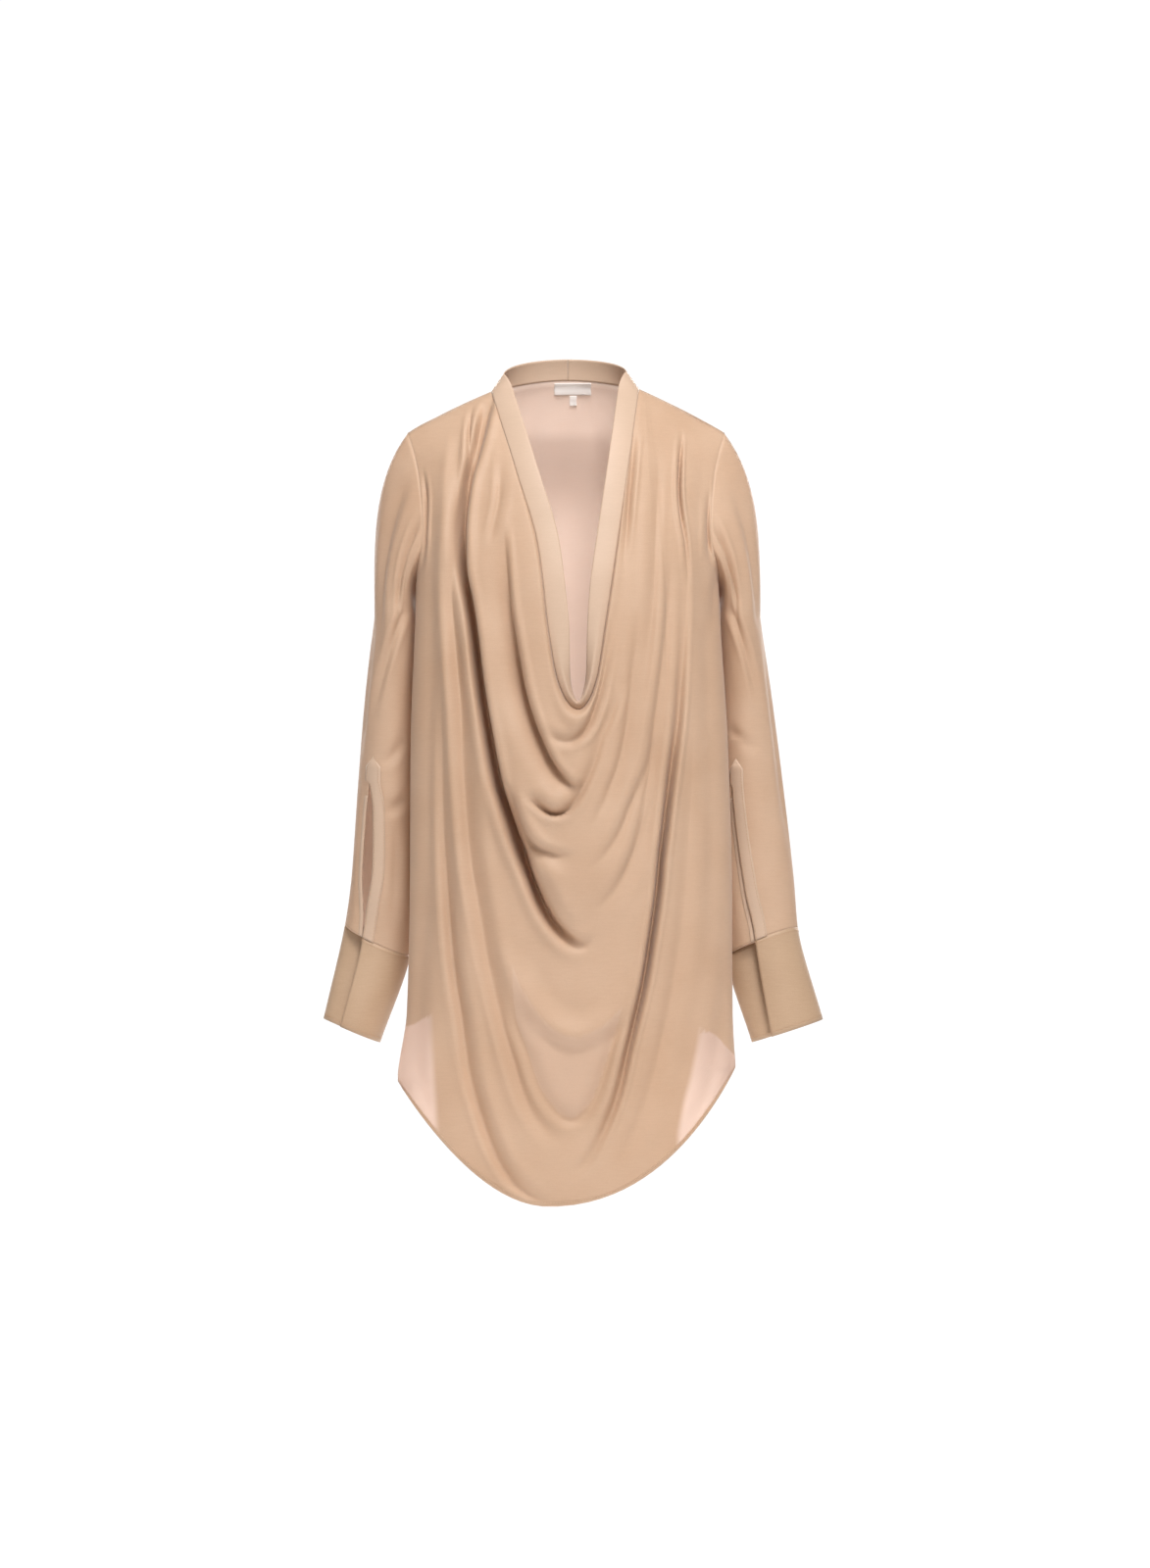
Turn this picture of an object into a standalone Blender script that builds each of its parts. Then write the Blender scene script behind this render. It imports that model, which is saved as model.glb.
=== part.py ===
"""Silk blouse with a deep cowl front, filled out as it is worn with no wearer in it.

The frame has +Z up, the front facing -Y and the wearer's left at +X. Its origin is the middle of the
shoulders, where the garment is held. Sizes and places below are in millimetres, and MM turns them to metres.

Every piece of cloth is a grid of points on a form worked out from the tables below, made into an open
surface with a Solidify modifier for its wall. Neighbours stop short of each other at their seams.
"""

import math
from collections import namedtuple

import bmesh
import bpy
import numpy as np

MM = 0.001
TINY = 1e-6
COLLECTION = "silk_blouse"

# Walls and clearances.
WALL = 1.2
CUFF_WALL = 1.4
LABEL_WALL = 1.0
THICKNESS_CLAMP = 2.0
SEAM_GAP = 0.3
LAID_CLEARANCE = 0.45
SLEEVE_CLEARANCE = 7.0
LEAST_SEAM_ANGLE = math.radians(40)
SHOULDER_FALL = 20.0
ARMHOLE_SPARE = 0.85

# Shoulders: neck point, shoulder tip and how far the cloth takes to fall away from the seam.
RIGHT, LEFT = -1, 1
NECK_POINT = {RIGHT: (-90.0, 26.0), LEFT: (84.0, 29.0)}
SHOULDER_TIP = {RIGHT: (-189.0, -23.0), LEFT: (183.0, -23.0)}
SHOULDER_Y = 5.0
SHOULDER_REACH = 180.0
FRONT_EASE = 0.75
BACK_EASE = 0.65
BACK_NECK_Y = 62.0
BACK_NECK_Z = 42.0

# Form of the body of the garment: superellipses, fuller in front than behind.
FRONT_POWER = 2.2
BACK_POWER = 1.8
BodySection = namedtuple("BodySection", "z half_right half_left centre_y front back")
BODY = (
    BodySection(-934, 199, 197, -35, 85, 118),
    BodySection(-785, 199, 197, -35, 92, 122),
    BodySection(-705, 188, 193, -35, 95, 128),
    BodySection(-552, 184, 192, -35, 100, 136),
    BodySection(-391, 183, 187, -35, 105, 140),
    BodySection(-205, 177, 177, -25, 107, 140),
    BodySection(-100, 193, 190, -5, 103, 118),
    BodySection(-23, 200, 196, 0, 100, 85),
)

BODY_AXIS_Y = -20.0

# Levels shared by the front, the back and the sleeves.
UNDERARM_Z = -205.0
VENT_Z = -705.0
HEM_CORNER = {RIGHT: (-199.0, -785.0), LEFT: (197.0, -768.0)}
HEM_BOTTOM = (-22.0, -934.0)
HEM_FULLNESS = {RIGHT: -0.11, LEFT: 0.2}
SIDE_SEAM_ANGLE = (110.0, 100.0)

# Armhole, from the shoulder tip to the underarm. Angles are from the middle of the front or the back.
Armhole = namedtuple("Armhole", "z angle")
FRONT_ARMHOLE = (
    Armhole(-23, 69),
    Armhole(-48, 64.5),
    Armhole(-74, 62),
    Armhole(-101, 61.5),
    Armhole(-128, 63),
    Armhole(-156, 68),
    Armhole(-180, 79),
    Armhole(-198, 94),
    Armhole(-205, 110),
)
BACK_ARMHOLE = (
    Armhole(-23, 72),
    Armhole(-48, 66),
    Armhole(-76, 62),
    Armhole(-105, 59.5),
    Armhole(-133, 59),
    Armhole(-160, 61),
    Armhole(-182, 65),
    Armhole(-198, 68),
    Armhole(-205, 70),
)
SIDE_STEPS = 7
FLARE_STEPS = 2
HEM_STEPS = 6

# The front hangs in nested U curves, one row for each, from the neck seam outwards. A row gives x at the
# shoulder and at four depths down each leg, and the point at the bottom of the U.
GUIDE_DEPTHS = (0.0, 0.25, 0.5, 0.75, 0.9, 1.0)
Guide = namedtuple("Guide", "r_top r_1 r_2 r_3 r_4 bottom_x bottom_z l_4 l_3 l_2 l_1 l_top")
GUIDES = (
    Guide(-90, -61, -34, -22.5, -12.5, 12.5, -351, 34.5, 43.5, 57.5, 71, 84),
    Guide(-92, -78, -70, -55, -35.5, 1, -437, 33, 51, 68, 76, 86.5),
    Guide(-95, -100, -91, -77, -54, 7, -520, 63, 81.5, 93, 90, 89),
    Guide(-99, -122, -106, -75, -43.5, 4.5, -615, 66.5, 95.5, 112.5, 107, 94),
    Guide(-128, -132, -124, -101, -72.5, -1, -831, 71, 94, 126.5, 127.5, 130),
    Guide(-154, -148, -145, -126.5, -94, -19.5, -914, 87, 121, 146, 154, 156),
)

# Folds of the front. level counts the guides, the rest is how far the cloth stands out of the form
# down the right leg, at the bottom and down the left leg of the U.
Fold = namedtuple("Fold", "level right bottom left")
FRONT_FOLDS = (
    Fold(0.0, 0, 0, 0),
    Fold(0.1, 0, 4, 0),
    Fold(0.35, 3, 12, 2),
    Fold(0.7, 2, 2, 2),
    Fold(1.0, -8, -9, -2),
    Fold(1.3, 4, 6, 0),
    Fold(1.6, -2, -7, -3),
    Fold(1.85, 2, 5, 0),
    Fold(2.1, -2, -7, -2),
    Fold(2.5, 5, 7, 1),
    Fold(2.8, -4, -2, -3),
    Fold(3.0, -14, -13, -6),
    Fold(3.3, 4, 6, 3),
    Fold(3.65, 0, 4, 2),
    Fold(4.0, -13, -7, -13),
    Fold(4.35, 4, 4, 4),
    Fold(4.7, 2, 1, 1),
    Fold(5.0, -7, -6, -5),
    Fold(5.5, 3, 4, 3),
    Fold(6.0, 0, 0, 0),
)
LEG_FROM = 0.6
SHOULDER_FADE = 10

# Back: shirt tail as points on its hem from the vent to the middle, and its shallow vertical folds.
TailPoint = namedtuple("TailPoint", "share x z")
TAIL = (
    TailPoint(0.0, 0, -895),
    TailPoint(0.25, 62, -885),
    TailPoint(0.5, 116, -856),
    TailPoint(0.68, 147, -806),
    TailPoint(0.8, 153, -752),
    TailPoint(0.9, 158, -703),
)
BACK_SHOULDER_STEPS = 5
BACK_NECK_STEPS = 10
BACK_FOLD_DEPTH = 7.0
BACK_FOLD_COUNT = 3.5
BACK_FOLD_TOP = -240.0

# Sleeves: sections given by their outer and inner points, the depth front to back, how far the front is
# lifted, and how far the seams have turned round the arm in degrees. The last two rows are the cuff's ends.
SleeveSection = namedtuple("SleeveSection", "outer_x outer_z inner_x inner_z y half_depth lift turn")
SLEEVES = {
    RIGHT: (
        SleeveSection(-228, -240, -176, -244, 18, 56, 0, 0),
        SleeveSection(-237, -330, -176, -334, 24, 52, 0, 3),
        SleeveSection(-245, -434, -176, -440, 27, 47, 0, 9),
        SleeveSection(-253, -552, -175, -562, 28, 42, -3, 10),
        SleeveSection(-259.5, -603, -186, -638, 26, 35, -6, 17),
        SleeveSection(-285, -714, -222, -742, 18, 40, 0, 21),
    ),
    LEFT: (
        SleeveSection(227, -240, 176, -244, 18, 56, 0, 0),
        SleeveSection(238.5, -330, 177, -334, 24, 52, 0, 6),
        SleeveSection(251.5, -434, 177, -440, 27, 47, 0, 12),
        SleeveSection(264.5, -552, 182, -562, 28, 40, 4, 2),
        SleeveSection(269, -608, 188, -641, 26, 34, 7, -9),
        SleeveSection(298, -715, 218, -742, 18, 33, 0, 6),
    ),
}
CAP_STEPS = 5
STATION_STEPS = 2
SLIT_STATION = 2.0
CUFF_STATION = 4.0
CUFF_STEPS = 3
RING_COLUMNS = 16
SLIT_COLUMN = {RIGHT: 2, LEFT: 5}
SLIT_TURN = {RIGHT: 1, LEFT: -1}
CAP_OUTWARD = 0.85
UNDERLAP_INSET = 2.6
UNDERLAP_COLUMNS = 1.1

# Gape of each slit, in millimetres across, at stations down the sleeve.
Gape = namedtuple("Gape", "station width")
SLIT_GAPE = {
    RIGHT: (Gape(2.0, 0), Gape(2.25, 14), Gape(2.75, 19), Gape(3.25, 10), Gape(3.6, 5), Gape(4.0, 2)),
    LEFT: (Gape(2.0, 0), Gape(2.25, 1.2), Gape(4.0, 1.2)),
}
TOWER_POINT = 13.0
TOWER_RISE = 22.0
TOWER_LIFT = 0.5
BINDING_WIDTH = 5.0

# Neckband.
BAND_WIDTH = 25.5
BAND_STEPS = 2
BAND_BOW = 1.0
BAND_BACK_LEAN_X = 0.72
BAND_BACK_LEAN_Y = -0.10
BAND_TURN_FROM = 0.62
BAND_TURN_POWER = 1.6
BAND_BOTTOM_UP = 0.12

# Blank labels inside the back neck: left and right ends, top and bottom.
LABEL_MAIN = (-16.0, 27.6, 39.0, 25.0)
LABEL_SIZE = (2.3, 10.4, 24.4, 12.4)
LABEL_LIFT = 1.8
LABEL_ROWS = 4
LABEL_STEPS = 2

# Finishes: colour, roughness.
Finish = namedtuple("Finish", "name colour roughness")
SILK = Finish("silk_crepe", (0.62, 0.44, 0.30), 0.62)
BAND_SILK = Finish("silk_crepe_doubled", (0.66, 0.47, 0.32), 0.6)
LABEL_SATIN = Finish("label_satin", (0.85, 0.83, 0.80), 0.5)


def smooth(at, knots, values):
    """Monotone cubic through (knots, values), straight-ended; at is one number or an array."""
    knots = np.asarray(knots, float)
    values = np.asarray(values, float)
    steps = np.diff(knots)
    slopes = np.diff(values) / steps
    tangents = np.zeros(len(knots))
    tangents[0], tangents[-1] = slopes[0], slopes[-1]
    for i in range(1, len(knots) - 1):
        if slopes[i - 1] * slopes[i] > 0:
            before = 2 * steps[i] + steps[i - 1]
            after = steps[i] + 2 * steps[i - 1]
            tangents[i] = (before + after) / (before / slopes[i - 1] + after / slopes[i])
    at = np.clip(np.asarray(at, float), knots[0], knots[-1])
    i = np.clip(np.searchsorted(knots, at, side="right") - 1, 0, len(steps) - 1)
    u = (at - knots[i]) / steps[i]
    start = (1 + 2 * u) * (1 - u) ** 2 * values[i] + u * (1 - u) ** 2 * steps[i] * tangents[i]
    end = u * u * (3 - 2 * u) * values[i + 1] + u * u * (u - 1) * steps[i] * tangents[i + 1]
    return start + end


def column(rows, field):
    """One named column of a table."""
    return [getattr(row, field) for row in rows]


def unit(vectors):
    """Vectors scaled to length one along the last axis."""
    return vectors / np.maximum(np.linalg.norm(vectors, axis=-1, keepdims=True), TINY)


def body_size(z, field):
    """A size of the body's section at height z."""
    return smooth(z, column(BODY, "z"), column(BODY, field))


def half_width(side, z):
    """Half width of the body on one side at height z."""
    return body_size(z, "half_right" if side == RIGHT else "half_left")


def shoulder_z(x):
    """Height of the shoulder line at x, carried on past the neck point and the tip."""
    side = LEFT if x > 0 else RIGHT
    neck, tip = NECK_POINT[side], SHOULDER_TIP[side]
    return neck[1] + (x - neck[0]) * (tip[1] - neck[1]) / (tip[0] - neck[0])


def back_top(x):
    """Depth and height of the back's top edge at x: the shoulder seam, then the curve of the neck."""
    neck = NECK_POINT[LEFT if x > 0 else RIGHT]
    share = abs(x / neck[0])
    if share >= 1:
        return SHOULDER_Y, shoulder_z(x)
    rise = math.sqrt(1 - share * share)
    return SHOULDER_Y + (BACK_NECK_Y - SHOULDER_Y) * rise, neck[1] + (BACK_NECK_Z - neck[1]) * (1 - share ** 2)


def ease(drop, power):
    """How far the cloth has reached the form, this far below its top edge."""
    share = min(max(drop, 0.0) / SHOULDER_REACH, 1.0)
    return math.sin(math.pi / 2 * share) ** power


def angle_at(x, z, power):
    """Signed angle round the body, from the middle of the front or the back, of a point at x."""
    side = LEFT if x > 0 else RIGHT
    share = min(abs(x) / half_width(side, z), 1.0)
    return side * math.asin(share ** (power / 2))


def form_point(angle, z, front):
    """Point of the garment's form: angle round the body from the middle of the front, or of the back."""
    side = LEFT if angle > 0 else RIGHT
    turn = abs(angle)
    faces_front = (turn <= math.pi / 2) == front
    power = FRONT_POWER if faces_front else BACK_POWER
    x = side * half_width(side, z) * abs(math.sin(turn)) ** (2 / power)
    reach = abs(math.cos(turn)) ** (2 / power)
    if faces_front:
        y = body_size(z, "centre_y") - body_size(z, "front") * reach
    else:
        y = body_size(z, "centre_y") + body_size(z, "back") * reach
    if front:
        top_y, top_z = SHOULDER_Y, shoulder_z(x)
        share = ease(top_z - z, FRONT_EASE)
    else:
        top_y, top_z = back_top(x)
        share = ease(top_z - z, BACK_EASE)
    return np.array((x, top_y + (y - top_y) * share, z))


def body_reach(side, y, z):
    """How far the body reaches sideways at depth y and height z, or 0 outside it."""
    offset = y - body_size(z, "centre_y")
    depth, power = (body_size(z, "front"), FRONT_POWER) if offset < 0 else (body_size(z, "back"), BACK_POWER)
    share = abs(offset) / depth
    return half_width(side, z) * (1 - share ** power) ** (1 / power) if share < 1 else 0.0


def normals_of(grid):
    """Unit normals of a grid of points, towards the left-hand side of its columns."""
    return unit(np.cross(np.gradient(grid, axis=1), np.gradient(grid, axis=0)))


def front_columns():
    """Places across the front from the right shoulder round to the left: 1 at a shoulder, 0 at the bottom."""
    places = []
    for side in (RIGHT, LEFT):
        top, bottom = SHOULDER_TIP[side][1], HEM_BOTTOM[1]
        heights = column(FRONT_ARMHOLE, "z")
        heights += list(np.linspace(UNDERARM_Z, VENT_Z, SIDE_STEPS + 1)[1:])
        heights += list(np.linspace(VENT_Z, HEM_CORNER[side][1], FLARE_STEPS + 1)[1:])
        across = [math.sqrt((z - bottom) / (top - bottom)) for z in heights]
        across += list(np.linspace(across[-1], 0, HEM_STEPS + 1)[1:])
        places.append([side * t for t in across])
    return places[0] + places[1][-2::-1]


def outer_edge(t):
    """Angle and height of the front's outer edge: armhole, side seam, flared vent and hem."""
    side = LEFT if t > 0 else RIGHT
    top, bottom = SHOULDER_TIP[side][1], HEM_BOTTOM[1]
    corner_x, corner_z = HEM_CORNER[side]
    z = top + (bottom - top) * (1 - t * t)
    if z >= UNDERARM_Z - TINY:
        angle = smooth(-z, [-row.z for row in FRONT_ARMHOLE], column(FRONT_ARMHOLE, "angle"))
        return side * math.radians(angle), z
    if z >= VENT_Z - TINY:
        share = (UNDERARM_Z - z) / (UNDERARM_Z - VENT_Z)
        return side * math.radians(SIDE_SEAM_ANGLE[0] + (SIDE_SEAM_ANGLE[1] - SIDE_SEAM_ANGLE[0]) * share), z
    if z >= corner_z - TINY:
        share = (VENT_Z - z) / (VENT_Z - corner_z)
        return side * math.radians(SIDE_SEAM_ANGLE[1] + (90 - SIDE_SEAM_ANGLE[1]) * share), z
    share = math.sqrt(max((z - bottom) / (corner_z - bottom), 0.0))
    reach = share + HEM_FULLNESS[side] * share * (1 - share)
    x = HEM_BOTTOM[0] + (corner_x - HEM_BOTTOM[0]) * reach
    return angle_at(x, z, FRONT_POWER), z


def guide_point(guide, t):
    """Angle and height of a guide curve at place t."""
    depth = 1 - t * t
    if t <= 0:
        across = (guide.r_top, guide.r_1, guide.r_2, guide.r_3, guide.r_4, guide.bottom_x)
    else:
        across = (guide.l_top, guide.l_1, guide.l_2, guide.l_3, guide.l_4, guide.bottom_x)
    places = [-math.sqrt(1 - share) for share in GUIDE_DEPTHS]
    x = float(smooth(-abs(t), places, across))
    top = shoulder_z(across[0])
    z = top + (guide.bottom_z - top) * depth
    return angle_at(x, z, FRONT_POWER), z


def fold_height(levels, t):
    """How far each level of the front stands out of the form at place t."""
    rows = column(FRONT_FOLDS, "level")
    leg = smooth(levels, rows, column(FRONT_FOLDS, "right" if t < 0 else "left"))
    bottom = smooth(levels, rows, column(FRONT_FOLDS, "bottom"))
    share = min(abs(t) / LEG_FROM, 1.0)
    share = share * share * (3 - 2 * share)
    return (bottom + (leg - bottom) * share) * (1 - abs(t) ** SHOULDER_FADE)


def front_grid():
    """Points of the front: a row for each fold level, a column for each place across."""
    levels = np.array(column(FRONT_FOLDS, "level"))
    places = front_columns()
    grid = np.zeros((len(levels), len(places), 3))
    heights = np.zeros((len(levels), len(places)))
    for c, t in enumerate(places):
        curve = [guide_point(guide, t) for guide in GUIDES] + [outer_edge(t)]
        knots = range(len(curve))
        angles = smooth(levels, knots, [point[0] for point in curve])
        drops = smooth(levels, knots, [point[1] for point in curve])
        for r in range(len(levels)):
            grid[r, c] = form_point(angles[r], drops[r], True)
        heights[:, c] = fold_height(levels, t)
    return grid + normals_of(grid) * heights[..., None]


def tail_point(share, side):
    """Angle from the middle of the back and height of the back's hem at a share of the way to the vent."""
    last = TAIL[-1].share
    if share > last:
        start = math.asin((TAIL[-1].x / half_width(side, TAIL[-1].z)) ** (BACK_POWER / 2))
        end = math.pi - math.radians(SIDE_SEAM_ANGLE[1])
        part = (share - last) / (1 - last)
        return side * (start + (end - start) * part), TAIL[-1].z + (VENT_Z - TAIL[-1].z) * part
    x = float(smooth(share, column(TAIL, "share"), column(TAIL, "x")))
    z = float(smooth(share, column(TAIL, "share"), column(TAIL, "z")))
    return side * abs(angle_at(x, z, BACK_POWER)), z


def back_edges():
    """The back's top, hem and two sides, as angles from the middle of the back and heights."""
    top = []
    for side in (RIGHT, LEFT):
        neck, tip = NECK_POINT[side], SHOULDER_TIP[side]
        across = list(np.linspace(tip[0], neck[0], BACK_SHOULDER_STEPS + 1))
        turns = np.linspace(math.pi / 2, 0, BACK_NECK_STEPS // 2 + 1)[1:]
        across += [neck[0] * math.sin(turn) for turn in turns]
        half = []
        for x in across:
            z = back_top(x)[1]
            half.append((side * abs(angle_at(x, z, BACK_POWER)), z))
        half[0] = (side * math.radians(BACK_ARMHOLE[0].angle), BACK_ARMHOLE[0].z)
        top.append(half)
    top = top[0] + top[1][-2::-1]
    middle = (len(top) - 1) / 2
    hem = [tail_point(abs(i / middle - 1), RIGHT if i < middle else LEFT) for i in range(len(top))]
    sides = []
    for side in (RIGHT, LEFT):
        edge = [(side * math.radians(row.angle), row.z) for row in BACK_ARMHOLE]
        for share in np.linspace(0, 1, SIDE_STEPS + 1)[1:]:
            angle = SIDE_SEAM_ANGLE[0] + (SIDE_SEAM_ANGLE[1] - SIDE_SEAM_ANGLE[0]) * share
            edge.append((side * (math.pi - math.radians(angle)), UNDERARM_Z + (VENT_Z - UNDERARM_Z) * share))
        sides.append(edge)
    return np.array(top), np.array(hem), np.array(sides[0]), np.array(sides[1])


def back_grid():
    """Points of the back, filled in between its four edges, with shallow folds below the shoulder blades."""
    top, hem, right, left = back_edges()
    drops = (right[:, 1] - right[0, 1]) / (right[-1, 1] - right[0, 1])
    grid = np.zeros((len(right), len(top), 3))
    heights = np.zeros((len(right), len(top)))
    for r, down in enumerate(drops):
        for c in range(len(top)):
            across = c / (len(top) - 1)
            point = (1 - down) * top[c] + down * hem[c] + (1 - across) * right[r] + across * left[r]
            point = point - (1 - down) * ((1 - across) * top[0] + across * top[-1])
            point = point - down * ((1 - across) * hem[0] + across * hem[-1])
            grid[r, c] = form_point(point[0], point[1], False)
            reach = min(max((BACK_FOLD_TOP - point[1]) / -BACK_FOLD_TOP, 0.0), 1.0)
            wave = math.cos(2 * math.pi * BACK_FOLD_COUNT * (across - 0.5))
            heights[r, c] = BACK_FOLD_DEPTH * reach * wave * math.sin(math.pi * across) ** 2
    return grid - normals_of(grid) * heights[..., None]


def sleeve_section(side, station):
    """The named sizes of the sleeve at a station between the rows of its table."""
    rows = SLEEVES[side]
    stations = range(len(rows))
    return SleeveSection(*(float(smooth(station, stations, column(rows, field))) for field in SleeveSection._fields))


def section_point(side, station, column_place, clear=True):
    """Point of a sleeve section; column_place counts the ring's columns from the outer side by the front."""
    section = sleeve_section(side, station)
    turn = 2 * math.pi * column_place / RING_COLUMNS + math.radians(section.turn)
    outer = np.array((section.outer_x, section.y, section.outer_z))
    inner = np.array((section.inner_x, section.y, section.inner_z))
    point = (outer + inner) / 2 + (outer - inner) / 2 * math.cos(turn)
    point = point + np.array((0, -section.half_depth, section.lift)) * math.sin(turn)
    if clear:
        least = body_reach(side, point[1], point[2]) + SLEEVE_CLEARANCE
        point[0] = side * max(side * point[0], least)
    return point


def slit_share(side, station):
    """Half the gape of the slit as a share of one column's width."""
    rows = SLIT_GAPE[side]
    gape = float(smooth(min(station, CUFF_STATION), column(rows, "station"), column(rows, "width")))
    section = sleeve_section(side, station)
    half = abs(section.outer_x - section.inner_x) / 2
    girth = 2 * math.pi * math.sqrt((half ** 2 + section.half_depth ** 2) / 2)
    return gape / 2 / (girth / RING_COLUMNS)


def ring_places(side, station):
    """Places of the columns from the slit's over edge round to its under edge."""
    start, way = SLIT_COLUMN[side], SLIT_TURN[side]
    inset = slit_share(side, station) if station > SLIT_STATION else 0.0
    return [start + way * place for place in np.linspace(inset, RING_COLUMNS - inset, RING_COLUMNS + 1)]


def inset_under_edge(points, centre, depth):
    """Points moved towards the middle of their section by a depth."""
    return points + unit(centre - points) * depth


def sleeve_grid(side, ring):
    """Points of a sleeve: a row for each level, a column from the slit's over edge to its under edge."""
    start, way = SLIT_COLUMN[side], SLIT_TURN[side]
    order = [(start + way * i) % RING_COLUMNS for i in range(RING_COLUMNS + 1)]
    first = np.array([section_point(side, 0.0, place) for place in ring_places(side, 0.0)])
    rows = [ring[order]]
    outward = unit(np.array((side * CAP_OUTWARD, 0.0, -math.sqrt(1 - CAP_OUTWARD ** 2))))
    down = np.array((0.0, 0.0, -1.0))
    for u in np.linspace(0, 1, CAP_STEPS + 1)[1:-1]:
        reach = np.linalg.norm(first - rows[0], axis=1)[:, None]
        row = (1 + 2 * u) * (1 - u) ** 2 * rows[0] + u * u * (3 - 2 * u) * first
        row = row + u * (1 - u) ** 2 * reach * outward + u * u * (u - 1) * reach * down
        for point in row:
            least = body_reach(side, point[1], point[2]) + SLEEVE_CLEARANCE * u
            if point[2] < UNDERARM_Z:
                point[0] = side * max(side * point[0], least)
        rows.append(row)
    count = int(CUFF_STATION * STATION_STEPS)
    for station in np.linspace(0, CUFF_STATION, count + 1):
        row = np.array([section_point(side, station, place) for place in ring_places(side, station)])
        if station > SLIT_STATION:
            row[-1] = inset_under_edge(row[-1], row.mean(axis=0), UNDERLAP_INSET)
        rows.append(row)
    return np.array(rows)


def cuff_grid(side):
    """Points of an open cuff: its under end goes on beneath the over end."""
    rows = []
    for share in np.linspace(0, 1, CUFF_STEPS + 1):
        station = CUFF_STATION + share
        places = ring_places(side, station)
        places.append(places[-1] + SLIT_TURN[side] * UNDERLAP_COLUMNS)
        row = np.array([section_point(side, station, place, False) for place in places])
        centre = row[:-1].mean(axis=0)
        row[-2:] = inset_under_edge(row[-2:], centre, UNDERLAP_INSET)
        rows.append(row)
    return np.array(rows)


def lifted(points, normals, height):
    """Points moved out along their normals."""
    return points + normals * height


def placket_grids(sleeve):
    """The placket on the over edge, with its pointed tower, and the binding on the under edge."""
    outward = normals_of(sleeve)
    centre = sleeve.mean(axis=1, keepdims=True)
    flip = np.sign(np.sum(outward * (sleeve - centre), axis=-1, keepdims=True))
    outward = outward * flip
    top = CAP_STEPS + int(SLIT_STATION * STATION_STEPS)
    lift = WALL + LAID_CLEARANCE
    over = lifted(sleeve[top:, :2], outward[top:, :2], lift)
    over[:, 0] = over[:, 0] + unit(over[:, 1] - over[:, 0]) * SEAM_GAP
    upward = unit(sleeve[top - 1, :2] - sleeve[top, :2])
    tower = lifted(sleeve[top, :2] + upward * TOWER_RISE, outward[top, :2], lift + TOWER_LIFT)
    point = tower.mean(axis=0) + unit(upward.mean(axis=0)) * TOWER_POINT
    under = lifted(sleeve[top + 1:, -2:], outward[top + 1:, -2:], lift)
    edge = under[:, 1] + unit(under[:, 0] - under[:, 1]) * SEAM_GAP
    inner = under[:, 1] + unit(under[:, 0] - under[:, 1]) * (SEAM_GAP + BINDING_WIDTH)
    return np.concatenate([tower[None], over]), point, np.stack([inner, edge], axis=1)


def across_seam(line, inner, closed):
    """Unit directions from a seam line into a panel, square to the line."""
    if closed:
        along = unit(np.roll(line, -1, axis=0) - np.roll(line, 1, axis=0))
    else:
        along = unit(np.gradient(line, axis=0))
    inwards = inner - line
    return unit(inwards - along * np.sum(inwards * along, axis=1, keepdims=True))


def seam_moves(line, inner, other, wall, closed=False, spare=0.0):
    """Moves that draw a panel's edge back from a seam line, so that two rims at any angle stay a gap apart."""
    own, opposite = across_seam(line, inner, closed), across_seam(line, other, closed)
    cosine = np.clip(np.sum(own * opposite, axis=1), -1, 1)
    half = np.maximum(np.arccos(cosine) / 2, LEAST_SEAM_ANGLE / 2)
    return own * ((SEAM_GAP / 2 + wall / 2 * np.cos(half)) / np.sin(half) + spare)[:, None]


def form_normal(angle, z, front):
    """Outward normal of the form."""
    turn, rise = 0.01, 0.5
    round_body = form_point(angle + turn, z, front) - form_point(angle - turn, z, front)
    upward = form_point(angle, z + rise, front) - form_point(angle, z - rise, front)
    normal = np.cross(round_body, upward)
    return unit(normal if front else -normal)


def neck_loop(front, back):
    """The neck seam's points, and directions across the band, from the centre back round and back to it."""
    first = BACK_SHOULDER_STEPS
    neck = back[0, first:first + BACK_NECK_STEPS + 1]
    middle = BACK_NECK_STEPS // 2
    along_front = front[0]
    angles = [angle_at(x, z, FRONT_POWER) for x, _, z in along_front]
    facing = np.array([form_normal(turn, point[2], True) for turn, point in zip(angles, along_front)])
    inwards = unit(np.cross(facing, unit(np.gradient(along_front, axis=0))))
    places = np.array(front_columns())
    turn = np.clip((1 - places ** 2 - BAND_TURN_FROM) / (1 - BAND_TURN_FROM), 0, 1) ** BAND_TURN_POWER
    backward = unit(np.array((0.0, 1.0, BAND_BOTTOM_UP)))
    inwards = unit(inwards * (1 - turn[:, None]) + backward * turn[:, None])
    lean = np.zeros_like(neck)
    for i, point in enumerate(neck):
        share = point[0] / abs(NECK_POINT[LEFT if point[0] > 0 else RIGHT][0])
        lean[i] = (-BAND_BACK_LEAN_X * share, BAND_BACK_LEAN_Y * (1 - abs(share)), 1.0)
    lean = unit(lean)
    seam = np.concatenate([neck[middle:0:-1], along_front, neck[-2:middle - 1:-1]])
    across = np.concatenate([lean[middle:0:-1], inwards, lean[-2:middle - 1:-1]])
    for joint in (middle, middle + len(along_front) - 1):
        across[joint] = unit(across[joint - 1] + across[joint] + across[joint + 1])
    along = unit(np.gradient(seam, axis=0))
    across = unit(across - along * np.sum(across * along, axis=1, keepdims=True))
    return seam, across


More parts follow.
